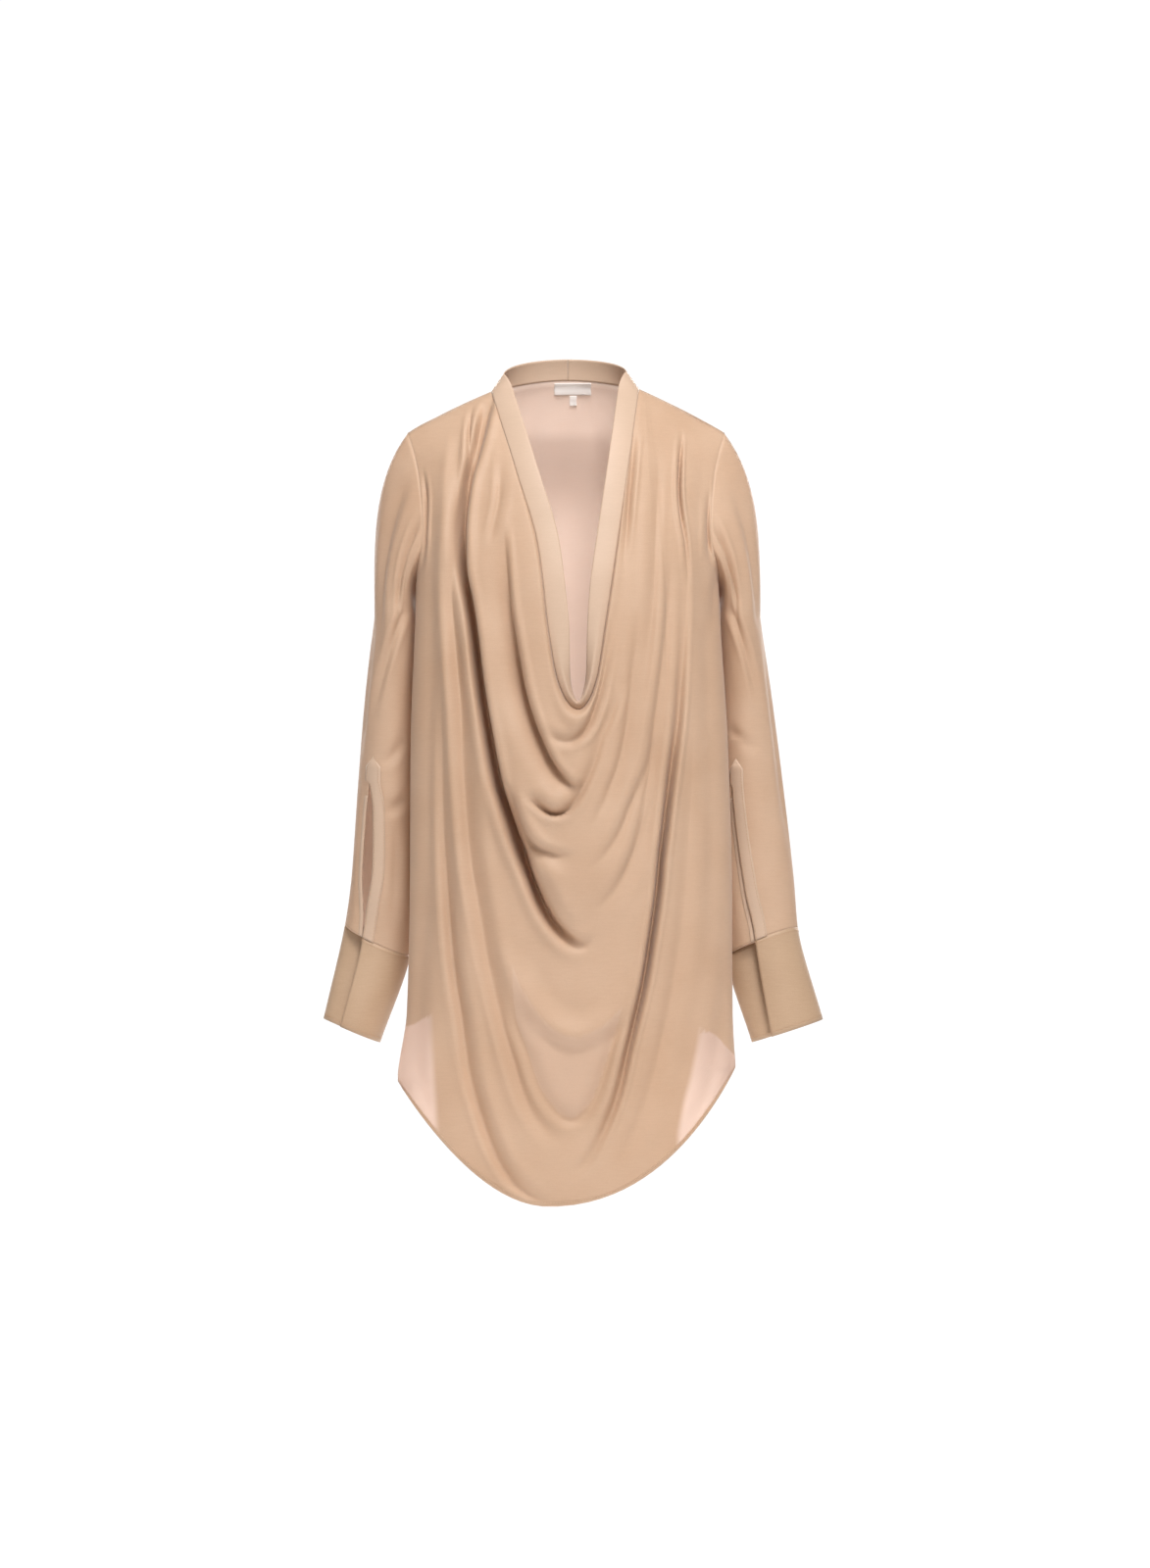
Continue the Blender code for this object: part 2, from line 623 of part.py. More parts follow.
def band_grid(seam, across):
    """Points of the neckband from its seam to its free edge."""
    along = unit(np.gradient(seam, axis=0))
    out = unit(np.cross(along, across))
    rows = []
    for share in np.linspace(0, 1, BAND_STEPS + 1):
        bow = BAND_BOW * 4 * share * (1 - share)
        rows.append(seam + across * BAND_WIDTH * share + out * bow)
    return np.array(rows)


def label_grid(ends, steps, back):
    """Points of a label in front of the back's inner side."""
    left, right, top, bottom = ends
    rows = []
    for z in np.linspace(top, bottom, LABEL_STEPS + 1):
        row = []
        for x in np.linspace(left, right, steps + 1):
            heights = [np.interp(x, line[:, 0], line[:, 2]) for line in back[:LABEL_ROWS]]
            depths = [np.interp(x, line[:, 0], line[:, 1]) for line in back[:LABEL_ROWS]]
            y = np.interp(-z, [-height for height in heights], depths)
            row.append((x, y - LABEL_LIFT, z))
        rows.append(row)
    return np.array(rows)


def material(finish):
    """Principled material of a finish, made once."""
    found = bpy.data.materials.get(finish.name)
    if found:
        return found
    made = bpy.data.materials.new(finish.name)
    made.use_nodes = True
    shader = made.node_tree.nodes["Principled BSDF"]
    shader.inputs["Base Color"].default_value = (*finish.colour, 1.0)
    shader.inputs["Roughness"].default_value = finish.roughness
    shader.inputs["Metallic"].default_value = 0.0
    return made


def add_sheet(name, points, faces, wall, finish, collection, outward):
    """Cloth as an open surface with its wall; outward is the side that its faces turn to."""
    mesh = bpy.data.meshes.new(name)
    mesh.from_pydata([tuple(point * MM) for point in points], [], faces)
    net = bmesh.new()
    net.from_mesh(mesh)
    bmesh.ops.remove_doubles(net, verts=net.verts, dist=TINY)
    bmesh.ops.recalc_face_normals(net, faces=net.faces)
    net.faces.ensure_lookup_table()
    lean = sum(face.normal.dot(outward(face.calc_center_median() / MM)) for face in net.faces)
    if lean < 0:
        bmesh.ops.reverse_faces(net, faces=net.faces)
    net.to_mesh(mesh)
    net.free()
    mesh.materials.append(material(finish))
    mesh.shade_smooth()
    piece = bpy.data.objects.new(name, mesh)
    collection.objects.link(piece)
    shell = piece.modifiers.new("wall", "SOLIDIFY")
    shell.thickness = wall * MM
    shell.offset = 0.0
    shell.use_even_offset = True
    shell.thickness_clamp = THICKNESS_CLAMP
    return piece


def grid_faces(rows, columns):
    """Quads of a grid whose points are listed row by row."""
    return [
        (r * columns + c, r * columns + c + 1, (r + 1) * columns + c + 1, (r + 1) * columns + c)
        for r in range(rows - 1)
        for c in range(columns - 1)
    ]


def add_grid(name, grid, wall, finish, collection, outward):
    """Cloth from a grid of points."""
    rows, columns = grid.shape[:2]
    return add_sheet(name, grid.reshape(-1, 3), grid_faces(rows, columns), wall, finish, collection, outward)


def away_from_axis(point):
    """Outward direction on the body of the garment, from its upright axis."""
    return (point[0], point[1] - BODY_AXIS_Y, 0.0)


def forward(_point):
    """Outward direction of a label, which faces the front."""
    return (0.0, -1.0, 0.0)


def away_from(centre):
    """Outward direction round a sleeve or cuff whose middle line is a function of height."""
    def outward(point):
        middle = centre(point[2])
        return (point[0] - middle[0], point[1] - middle[1], 0.0)
    return outward


def sleeve_middle(side):
    """Middle of a sleeve at a height."""
    rows = SLEEVES[side][::-1]
    heights = [(row.outer_z + row.inner_z) / 2 for row in rows]
    across = [(row.outer_x + row.inner_x) / 2 for row in rows]
    depth = [row.y for row in rows]
    return lambda z: (float(smooth(z, heights, across)), float(smooth(z, heights, depth)))


def ring_line(front, back, side, front_row, back_column):
    """The armhole's points, or those one step inside it, in the ring's order."""
    count = len(FRONT_ARMHOLE)
    before = front[front_row, :count] if side == RIGHT else front[front_row, ::-1][:count]
    behind = back[:count, back_column] if side == RIGHT else back[:count, -1 - back_column]
    return np.concatenate([before, behind[-2:0:-1]])


def ring_order(side):
    """The ring's places in the order of the sleeve's columns."""
    start, way = SLIT_COLUMN[side], SLIT_TURN[side]
    return [(start + way * i) % RING_COLUMNS for i in range(RING_COLUMNS)]


def cut_armhole(front, back, sleeve, side, made_front, made_back, made_sleeve):
    """Draws the front, the back and a sleeve back from their armhole seam."""
    count = len(FRONT_ARMHOLE)
    ring = ring_line(front, back, side, -1, 0)
    inside = ring_line(front, back, side, -2, 1)
    order = ring_order(side)
    outside = np.zeros_like(ring)
    outside[order] = sleeve[1, :RING_COLUMNS]
    body = seam_moves(ring, inside, outside, WALL, closed=True)
    arm = seam_moves(ring, outside, inside, WALL, closed=True, spare=ARMHOLE_SPARE)
    for place in range(RING_COLUMNS):
        if place < count:
            made_front[-1, place if side == RIGHT else -1 - place] += body[place]
        if place == 0 or place >= count - 1:
            row = (RING_COLUMNS - place) % RING_COLUMNS
            made_back[row, 0 if side == RIGHT else -1] += body[place]
    made_sleeve[0] += arm[order + order[:1]]


def cut_side(front, back, side, made_front, made_back):
    """Draws the front and the back from each other at a side seam."""
    first, steps = len(FRONT_ARMHOLE) - 1, SIDE_STEPS + 1
    columns = [c if side == RIGHT else -1 - c for c in range(first, first + steps)]
    rows = range(first, first + steps)
    line, before = front[-1, columns], front[-2, columns]
    behind = back[rows, 1 if side == RIGHT else -2]
    made_front[-1, columns] += seam_moves(line, before, behind, WALL)
    made_back[rows, 0 if side == RIGHT else -1] += seam_moves(line, behind, before, WALL)


def fall_from_shoulder(line, front):
    """Points of the form a little below a line of points on the shoulder."""
    return np.array([form_point(angle_at(x, z - SHOULDER_FALL, FRONT_POWER if front else BACK_POWER),
                                z - SHOULDER_FALL, front) for x, _, z in line])


def cut_shoulder(front, back, side, made_front, made_back):
    """Draws the front and the back from each other at a shoulder seam."""
    column_of = 0 if side == RIGHT else -1
    line = front[:, column_of]
    own = front[:, 1 if side == RIGHT else -2]
    made_front[:, column_of] += seam_moves(line, own, fall_from_shoulder(line, False), WALL)
    span = range(BACK_SHOULDER_STEPS + 1) if side == RIGHT else range(-1 - BACK_SHOULDER_STEPS, 0)
    line = back[0, span]
    made_back[0, span] += seam_moves(line, back[1, span], fall_from_shoulder(line, True), WALL)


def cut_neck(front, back, band, made_front, made_back, made_band):
    """Draws the band from the neck seam and the panels from the band, and the band's ends apart."""
    middle, first = BACK_NECK_STEPS // 2, BACK_SHOULDER_STEPS
    neck = back[1, first:first + BACK_NECK_STEPS + 1]
    inside = np.concatenate([neck[middle:0:-1], front[1], neck[-2:middle - 1:-1]])
    body = seam_moves(band[0], inside, band[1], WALL)
    made_band[0] += seam_moves(band[0], band[1], inside, WALL)
    last = middle + front.shape[1]
    made_front[0] += body[middle:last]
    made_back[0, first:first + middle + 1] += body[middle::-1]
    made_back[0, first + middle + 1:first + BACK_NECK_STEPS + 1] += body[:last - 2:-1][1:]
    for end, following in ((0, 1), (-1, -2)):
        made_band[:, end] += unit(band[:, following] - band[:, end]) * (SEAM_GAP / 2)


def cut_cuff(sleeve, cuff, made_sleeve, made_cuff):
    """Draws a sleeve and its cuff from each other."""
    columns = sleeve.shape[1]
    line = cuff[0, :columns]
    made_sleeve[-1] += seam_moves(line, sleeve[-2], cuff[1, :columns], CUFF_WALL)
    made_cuff[0, :columns] += seam_moves(line, cuff[1, :columns], sleeve[-2], CUFF_WALL)
    made_cuff[0, columns:] += unit(cuff[1, columns:] - cuff[0, columns:]) * (SEAM_GAP + WALL)


def add_placket(name, strip, point, finish, collection, outward):
    """A placket: a strip with a pointed top."""
    rows = len(strip)
    points = np.concatenate([strip.reshape(-1, 3), point[None]])
    faces = grid_faces(rows, 2) + [(0, 1, 2 * rows)]
    return add_sheet(name, points, faces, WALL, finish, collection, outward)


def build():
    """Clears the scene and makes every piece."""
    for thing in list(bpy.data.objects):
        bpy.data.objects.remove(thing, do_unlink=True)
    collection = bpy.data.collections.new(COLLECTION)
    bpy.context.scene.collection.children.link(collection)

    front, back = front_grid(), back_grid()
    sleeves = {side: sleeve_grid(side, ring_line(front, back, side, -1, 0)) for side in (RIGHT, LEFT)}
    cuffs = {side: cuff_grid(side) for side in (RIGHT, LEFT)}
    seam, across = neck_loop(front, back)
    band = band_grid(seam, across)

    made_front, made_back, made_band = front.copy(), back.copy(), band.copy()
    made_sleeves = {side: sleeve.copy() for side, sleeve in sleeves.items()}
    made_cuffs = {side: cuff.copy() for side, cuff in cuffs.items()}
    for side in (RIGHT, LEFT):
        cut_armhole(front, back, sleeves[side], side, made_front, made_back, made_sleeves[side])
        cut_side(front, back, side, made_front, made_back)
        cut_shoulder(front, back, side, made_front, made_back)
        cut_cuff(sleeves[side], cuffs[side], made_sleeves[side], made_cuffs[side])
    cut_neck(front, back, band, made_front, made_back, made_band)

    add_grid("front_panel", made_front, WALL, SILK, collection, away_from_axis)
    add_grid("back_panel", made_back, WALL, SILK, collection, away_from_axis)
    add_grid("neckband", made_band, WALL, BAND_SILK, collection, away_from_axis)
    for side, word in ((RIGHT, "right"), (LEFT, "left")):
        outward = away_from(sleeve_middle(side))
        add_grid(f"sleeve_{word}", made_sleeves[side], WALL, SILK, collection, outward)
        add_grid(f"cuff_{word}", made_cuffs[side], CUFF_WALL, BAND_SILK, collection, outward)
        strip, point, binding = placket_grids(made_sleeves[side])
        add_placket(f"placket_{word}", strip, point, BAND_SILK, collection, outward)
        add_grid(f"placket_binding_{word}", binding, WALL, BAND_SILK, collection, outward)

    add_grid("label_main", label_grid(LABEL_MAIN, 4, back), LABEL_WALL, LABEL_SATIN, collection, forward)
    add_grid("label_size", label_grid(LABEL_SIZE, 1, back), LABEL_WALL, LABEL_SATIN, collection, forward)


build()
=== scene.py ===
"""Silk blouse with a deep cowl front, filled out as it is worn: its looks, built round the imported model.

Sizes in the tables are in millimetres and become metres when a mesh is made. +Z is up, the front faces
-Y and the wearer's left is at +X. Every piece of cloth is a fine grid of points on the form of the blouse,
moved in or out by its folds, and given a thin wall. Stitches and seam ridges are grown along its edges.
"""

import logging
import math
from dataclasses import dataclass, replace
from enum import Enum

import bmesh
import bpy
import numpy as np
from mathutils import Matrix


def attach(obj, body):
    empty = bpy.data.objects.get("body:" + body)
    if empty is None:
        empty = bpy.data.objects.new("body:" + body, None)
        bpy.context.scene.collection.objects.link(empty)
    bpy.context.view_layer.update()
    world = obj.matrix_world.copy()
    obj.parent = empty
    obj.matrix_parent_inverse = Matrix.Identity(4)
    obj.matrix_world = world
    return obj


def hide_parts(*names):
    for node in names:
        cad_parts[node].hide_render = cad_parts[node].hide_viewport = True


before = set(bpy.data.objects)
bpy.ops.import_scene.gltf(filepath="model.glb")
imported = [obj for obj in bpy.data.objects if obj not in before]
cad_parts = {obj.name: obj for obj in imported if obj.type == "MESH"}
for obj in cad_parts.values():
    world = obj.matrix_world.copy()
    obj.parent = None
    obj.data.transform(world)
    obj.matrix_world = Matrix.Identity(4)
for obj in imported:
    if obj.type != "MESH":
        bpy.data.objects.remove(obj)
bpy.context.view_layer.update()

LOG = logging.getLogger("blouse")
MM = 0.001
TINY = 1e-6
# The photograph's size and its pixel at the origin, and millimetres for each of its pixels.
PHOTO_WIDTH, PHOTO_HEIGHT = 1173, 1600
ORIGIN_ACROSS, ORIGIN_DOWN = 579, 420
PHOTO_SCALE = 1.15


class Side(Enum):
    """The wearer's two sides, with the sign of x on each."""

    RIGHT = -1
    LEFT = 1

    @property
    def word(self) -> str:
        """The side as it stands in names."""
        return self.name.lower()


class Face(Enum):
    """Which way a sheet's outer face is found."""

    AXIS = "away from the upright axis of the body"
    SLEEVE = "away from the middle of the sleeve"
    FRONT = "towards the front"


def smooth(at, knots, values) -> np.ndarray:
    """Monotone cubic through rows of values.

    Args:
        at: one place or an array of places.
        knots: increasing places of the rows.
        values: one row, number or array, for each knot.

    Returns:
        The rows at the places, with straight ends.
    """
    knots, values = np.asarray(knots, float), np.asarray(values, float)
    wide = (1,) * (values.ndim - 1)
    steps = np.diff(knots).reshape((-1,) + wide)
    slopes = np.diff(values, axis=0) / steps
    tangents = np.zeros_like(values)
    tangents[0], tangents[-1] = slopes[0], slopes[-1]
    before, after = 2 * steps[1:] + steps[:-1], steps[1:] + 2 * steps[:-1]
    same = slopes[:-1] * slopes[1:] > 0
    below = np.where(same, slopes[:-1], 1.0)
    above = np.where(same, slopes[1:], 1.0)
    tangents[1:-1] = np.where(same, (before + after) / (before / below + after / above), 0.0)
    at = np.clip(np.asarray(at, float), knots[0], knots[-1])
    i = np.clip(np.searchsorted(knots, at, side="right") - 1, 0, len(knots) - 2)
    span = (knots[i + 1] - knots[i]).reshape(at.shape + wide)
    u = (at - knots[i]).reshape(at.shape + wide) / span
    start = (1 + 2 * u) * (1 - u) ** 2 * values[i] + u * (1 - u) ** 2 * span * tangents[i]
    return start + u * u * (3 - 2 * u) * values[i + 1] + u * u * (u - 1) * span * tangents[i + 1]


def step(share) -> np.ndarray:
    """Eases a share from 0 to 1, level at both ends."""
    share = np.clip(share, 0.0, 1.0)
    return share * share * (3 - 2 * share)


def unit(vectors) -> np.ndarray:
    """Vectors scaled to length one along the last axis."""
    return vectors / np.maximum(np.linalg.norm(vectors, axis=-1, keepdims=True), TINY)


def normals_of(grid) -> np.ndarray:
    """Unit normals of a grid, towards whoever sees its rows run down and its columns to the right."""
    return unit(np.cross(np.gradient(grid, axis=0), np.gradient(grid, axis=1)))


def outwards(rings) -> np.ndarray:
    """Unit normals of a grid whose rows are rings, away from the middle of each ring."""
    out = normals_of(rings)
    away = rings - rings.mean(axis=1, keepdims=True)
    return out * np.sign(np.sum(out * away, axis=-1, keepdims=True).mean())


def lengths_along(points) -> np.ndarray:
    """Lengths from the first of a line of points to each of them."""
    return np.concatenate([[0.0], np.cumsum(np.linalg.norm(np.diff(points, axis=0), axis=1))])


def bell(offset, width: float) -> np.ndarray:
    """1 where the offset is nothing, falling away on both sides of it."""
    return np.exp(-(offset / width) ** 2)


def linear(code: str, alpha: float = 1.0) -> tuple:
    """An sRGB hex colour as linear red, green and blue, with alpha."""
    parts = [int(code[i:i + 2], 16) / 255 for i in (0, 2, 4)]
    return (*(p / 12.92 if p <= 0.04045 else ((p + 0.055) / 1.055) ** 2.4 for p in parts), alpha)


@dataclass(frozen=True)
class Crease:
    """A fold whose path is given.

    Its points are (across, up, depth): two places on a flat view of the piece and how deep the trough is
    there. A depth under zero is a ridge. inner and outer are half widths to the left and right of its way
    along, lean is how far the cloth beside it leans over the trough, and power is how square the trough is.
    """

    name: str
    inner: float
    outer: float
    lean: float
    points: tuple
    power: float = 1.7


# Painted backlight: a point's number is this reach at a one-layer zone's edge, and more inside it.
PAINTED_BACKLIGHT_REACH = 20.0
PAINTED_BACKLIGHT_EASE = 2.0
# Creases: the step along one in millimetres and, in its half widths, how far it reaches.
FOLD_SPACING = 7.0
FOLD_REACH = 4.5
# The soft ridge beside a trough: place and width in half widths, share of the depth, most depth it follows.
SHOULDER_AT, SHOULDER_WIDTH = 2.0, 0.8
SHOULDER_RISE, SHOULDER_MOST = 0.28, 9.0
# Where the cloth beside a trough leans over it most, and how wide that part is, in half widths.
LEAN_AT, LEAN_WIDTH = 1.2, 0.7
# Points worked out at one time, which keeps the arrays small.
CHUNK = 6000
# The fewest steps along a crease.
FEWEST_STEPS = 4


def crease_field(plane: np.ndarray, creases) -> tuple:
    """How a set of creases moves the cloth.

    Args:
        plane: (n, 2) places on the flat view.
        creases: the creases.

    Returns:
        Heights out of the surface (n,) and shifts across the flat view (n, 2).
    """
    height = np.zeros(len(plane))
    shift = np.zeros((len(plane), 2))
    for crease in creases:
        points = np.array(crease.points, float)
        along = lengths_along(points[:, :2])
        count = max(int(along[-1] / FOLD_SPACING), FEWEST_STEPS)
        path = smooth(np.linspace(0, along[-1], count), along, points)
        reach = FOLD_REACH * max(crease.inner, crease.outer)
        low, high = path[:, :2].min(axis=0) - reach, path[:, :2].max(axis=0) + reach
        near = np.nonzero(((plane > low) & (plane < high)).all(axis=1))[0]
        start, span = path[:-1, :2], np.diff(path[:, :2], axis=0)
        for first in range(0, len(near), CHUNK):
            some = near[first:first + CHUNK]
            away = plane[some][:, None] - start
            share = np.clip((away * span).sum(-1) / (span * span).sum(-1), 0, 1)
            rest = away - span * share[..., None]
            distance = np.sqrt((rest * rest).sum(-1))
            best = distance.argmin(axis=1)
            rows = np.arange(len(some))
            distance, rest, share = distance[rows, best], rest[rows, best], share[rows, best]
            side = span[best, 0] * rest[:, 1] - span[best, 1] * rest[:, 0]
            u = distance / np.where(side > 0, crease.inner, crease.outer)
            depth = path[best, 2] + (path[best + 1, 2] - path[best, 2]) * share
            trough = np.exp(-u ** crease.power)
            beside = bell(u - SHOULDER_AT, SHOULDER_WIDTH)
            rise = SHOULDER_RISE * np.clip(depth, -SHOULDER_MOST, SHOULDER_MOST)
            height[some] += rise * beside - depth * trough
            most = max(np.abs(points[:, 2]).max(), TINY)
            lean = crease.lean * np.abs(depth) / most * bell(u - LEAN_AT, LEAN_WIDTH)
            shift[some] -= rest / np.maximum(distance, TINY)[:, None] * lean[:, None]
    return height, shift


@dataclass(frozen=True)
class Section:
    """A level section of the body of the garment."""

    z: float
    half_right: float
    half_left: float
    centre_y: float
    front: float
    back: float


@dataclass(frozen=True)
class Form:
    """The form that the blouse is filled out to: superellipses, fuller in front than behind."""

    sections: tuple = (
        Section(-934, 199, 197, -35, 85, 118),
        Section(-785, 199, 197, -35, 92, 122),
        Section(-705, 188, 193, -35, 95, 128),
        Section(-552, 184, 192, -35, 100, 136),
        Section(-391, 183, 187, -35, 105, 140),
        Section(-205, 177, 177, -25, 107, 140),
        Section(-100, 193, 190, -5, 103, 118),
        Section(-23, 200, 196, 0, 100, 85),
    )
    front_power: float = 2.2
    back_power: float = 1.8
    neck_right: tuple = (-90.0, 26.0)
    neck_left: tuple = (84.0, 29.0)
    tip_right: tuple = (-189.0, -23.0)
    tip_left: tuple = (183.0, -23.0)
    shoulder_y: float = 5.0
    shoulder_bow: float = 2.0
    shoulder_reach: float = 180.0
    front_ease: float = 0.75
    back_ease: float = 0.65
    back_neck_y: float = 62.0
    back_neck_z: float = 42.0
    neck_fade: float = 12.0
    neck_spread: float = 0.85

    def size(self, z, name: str) -> np.ndarray:
        """A named size of the section at heights z."""
        return smooth(z, [s.z for s in self.sections], [getattr(s, name) for s in self.sections])

    def half(self, x, z) -> np.ndarray:
        """Half width at heights z, on the side that the sign of x names."""
        return np.where(np.asarray(x) > 0, self.size(z, "half_left"), self.size(z, "half_right"))

    def neck(self, x, part: int) -> np.ndarray:
        """x or height of the neck point on the side of x."""
        return np.where(np.asarray(x) > 0, self.neck_left[part], self.neck_right[part])

    def tip(self, x, part: int) -> np.ndarray:
        """x or height of the shoulder tip on the side of x."""
        return np.where(np.asarray(x) > 0, self.tip_left[part], self.tip_right[part])

    def shoulder_z(self, x) -> np.ndarray:
        """Height of the shoulder line at x."""
        share = (x - self.neck(x, 0)) / (self.tip(x, 0) - self.neck(x, 0))
        bow = self.shoulder_bow * np.sin(math.pi * np.clip(share, 0, 1))
        return self.neck(x, 1) + (self.tip(x, 1) - self.neck(x, 1)) * share + bow

    def back_top(self, x) -> tuple:
        """Depth and height of the back's top edge at x: the shoulder seam, then the curve of the neck.

        Args:
            x: places across.

        Returns:
            Depths and heights.
        """
        share = np.abs(x / self.neck(x, 0))
        rise = np.sqrt(np.clip(1 - share * share, 0, 1))
        y = self.shoulder_y + (self.back_neck_y - self.shoulder_y) * rise
        z = self.neck(x, 1) + (self.back_neck_z - self.neck(x, 1)) * (1 - share ** 2)
        return np.where(share >= 1, self.shoulder_y, y), np.where(share >= 1, self.shoulder_z(x), z)

    def ease(self, drop, power: float) -> np.ndarray:
        """How far the cloth has reached the form, this far below its top edge."""
        share = np.clip(drop / self.shoulder_reach, 0, 1)
        return np.sin(math.pi / 2 * share) ** power

    def angle_at(self, x, z, power: float) -> np.ndarray:
        """Signed angle round the body, from the middle of the front or the back, at x."""
        share = np.clip(np.abs(x) / self.half(x, z), 0, 1)
        return np.where(np.asarray(x) > 0, 1, -1) * np.arcsin(share ** (power / 2))

    def place(self, angle, z, front: bool) -> np.ndarray:
        """Points of the form.

        Args:
            angle: angles round the body from the middle of the front, or of the back.
            z: heights.
            front: takes angles from the front and its top edge, not those of the back.

        Returns:
            The points.
        """
        sign = np.where(angle > 0, 1, -1)
        turn = np.abs(angle)
        faces_front = (turn <= math.pi / 2) == front
        power = 2 / np.where(faces_front, self.front_power, self.back_power)
        x = sign * self.half(sign, z) * np.abs(np.sin(turn)) ** power
        reach = np.abs(np.cos(turn)) ** power
        depth = np.where(faces_front, -self.size(z, "front"), self.size(z, "back"))
        y = self.size(z, "centre_y") + depth * reach
        if front:
            top_y, top_z, power = self.shoulder_y, self.shoulder_z(x), self.front_ease
        else:
            (top_y, top_z), power = self.back_top(x), self.back_ease
            near = np.exp(-np.maximum(top_z - z, 0) / self.neck_fade)
            hollow = 1 / (1 + (x / self.neck(x, 0) / self.neck_spread) ** 4)
            below = self.shoulder_y + (self.back_neck_y - self.shoulder_y) * hollow
            top_y = near * top_y + (1 - near) * below
        y = top_y + (y - top_y) * self.ease(top_z - z, power)
        return np.stack([x, y, z + 0 * x], axis=-1)

    def reach(self, sign, y, z) -> np.ndarray:
        """How far the body reaches sideways at depth y and height z, or 0 outside it.

        Args:
            sign: the sign of x on the side that is meant.
            y: depths.
            z: heights.

        Returns:
            Half widths.
        """
        offset = y - self.size(z, "centre_y")
        ahead = offset < 0
        depth = np.where(ahead, self.size(z, "front"), self.size(z, "back"))
        power = np.where(ahead, self.front_power, self.back_power)
        share = np.clip(np.abs(offset) / depth, 0, 1)
        return self.half(sign, z) * (1 - share ** power) ** (1 / power)


@dataclass(frozen=True)
class Seams:
    """The lines that two pieces share: armholes, sides and vents."""

    underarm_z: float = -205.0
    vent_z: float = -705.0
    corner_right: tuple = (-199.0, -785.0)
    corner_left: tuple = (197.0, -768.0)
    bottom: tuple = (-22.0, -928.0)
    fullness_right: float = -0.11
    fullness_left: float = 0.2
    side_angles: tuple = (110.0, 100.0)
    front_z: tuple = (-23, -48, -74, -101, -128, -156, -180, -198, -205)
    front_angle: tuple = (69, 64.5, 62, 61.5, 63, 68, 79, 94, 110)
    back_z: tuple = (-23, -48, -76, -105, -133, -160, -182, -198, -205)
    back_angle: tuple = (72, 66, 62, 59.5, 59, 61, 65, 68, 70)

    def armhole_angle(self, z, front: bool) -> np.ndarray:
        """Angle of the armhole from the middle of the front or the back, in radians."""
        heights, angles = (self.front_z, self.front_angle) if front else (self.back_z, self.back_angle)
        return np.radians(smooth(-np.asarray(z), [-h for h in heights], angles))

    def side_angle(self, z) -> np.ndarray:
        """Angle of the side seam from the middle of the front, in radians."""
        share = np.clip((self.underarm_z - z) / (self.underarm_z - self.vent_z), 0, 1)
        return np.radians(self.side_angles[0] + (self.side_angles[1] - self.side_angles[0]) * share)

    def armhole(self, form: Form, side: Side, place) -> np.ndarray:
        """Points of an armhole.

        Args:
            form: the form.
            side: which armhole.
            place: 0 to 16, from the tip by the front to the underarm at 8 and up the back.

        Returns:
            The points.
        """
        place = np.mod(place, 16)
        index = np.arange(9)
        front_z = smooth(np.clip(place, 0, 8), index, self.front_z)
        back_z = smooth(np.clip(16 - place, 0, 8), index, self.back_z)
        front = form.place(side.value * self.armhole_angle(front_z, True), front_z, True)
        back = form.place(side.value * self.armhole_angle(back_z, False), back_z, False)
        return np.where((place <= 8)[..., None], front, back)


FORM = Form()
SEAMS = Seams()


def add_node(tree, kind: str, values: dict | None = None, **settings):
    """Adds a node to a tree.

    Args:
        tree: the node tree.
        kind: the node's type.
        values: for each input, by name or index, a constant or the output socket that it is linked from.
        settings: properties of the node.

    Returns:
        The node.
    """
    node = tree.nodes.new(kind)
    for key, value in settings.items():
        setattr(node, key, value)
    for key, value in (values or {}).items():
        if isinstance(value, bpy.types.NodeSocket):
            tree.links.new(value, node.inputs[key])
        else:
            node.inputs[key].default_value = value
    return node


def new_material(name: str) -> tuple:
    """A new material, its emptied node tree and the socket of the object's own coordinates."""
    made = bpy.data.materials.new(name)
    made.use_nodes = True
    tree = made.node_tree
    tree.nodes.clear()
    return made, tree, add_node(tree, "ShaderNodeTexCoord").outputs["Object"]


def noise(tree, place, size: float, detail: float):
    """Output socket of a noise with patches of this size in millimetres."""
    scaled = {"Vector": place, "Scale": 1000 / size, "Detail": detail}
    return add_node(tree, "ShaderNodeTexNoise", scaled).outputs["Fac"]


def blend(tree, share, first, second):
    """Output socket of a mix of two colours."""
    return add_node(tree, "ShaderNodeMix", {0: share, 6: first, 7: second}, data_type="RGBA").outputs[2]


def show_mix(tree, share, first, second, output: str = "ShaderNodeOutputMaterial") -> None:
    """Ends a tree in a mix of two shaders."""
    mixed = add_node(tree, "ShaderNodeMixShader", {0: share, 1: first.outputs[0], 2: second.outputs[0]})
    add_node(tree, output, {"Surface": mixed.outputs[0]})


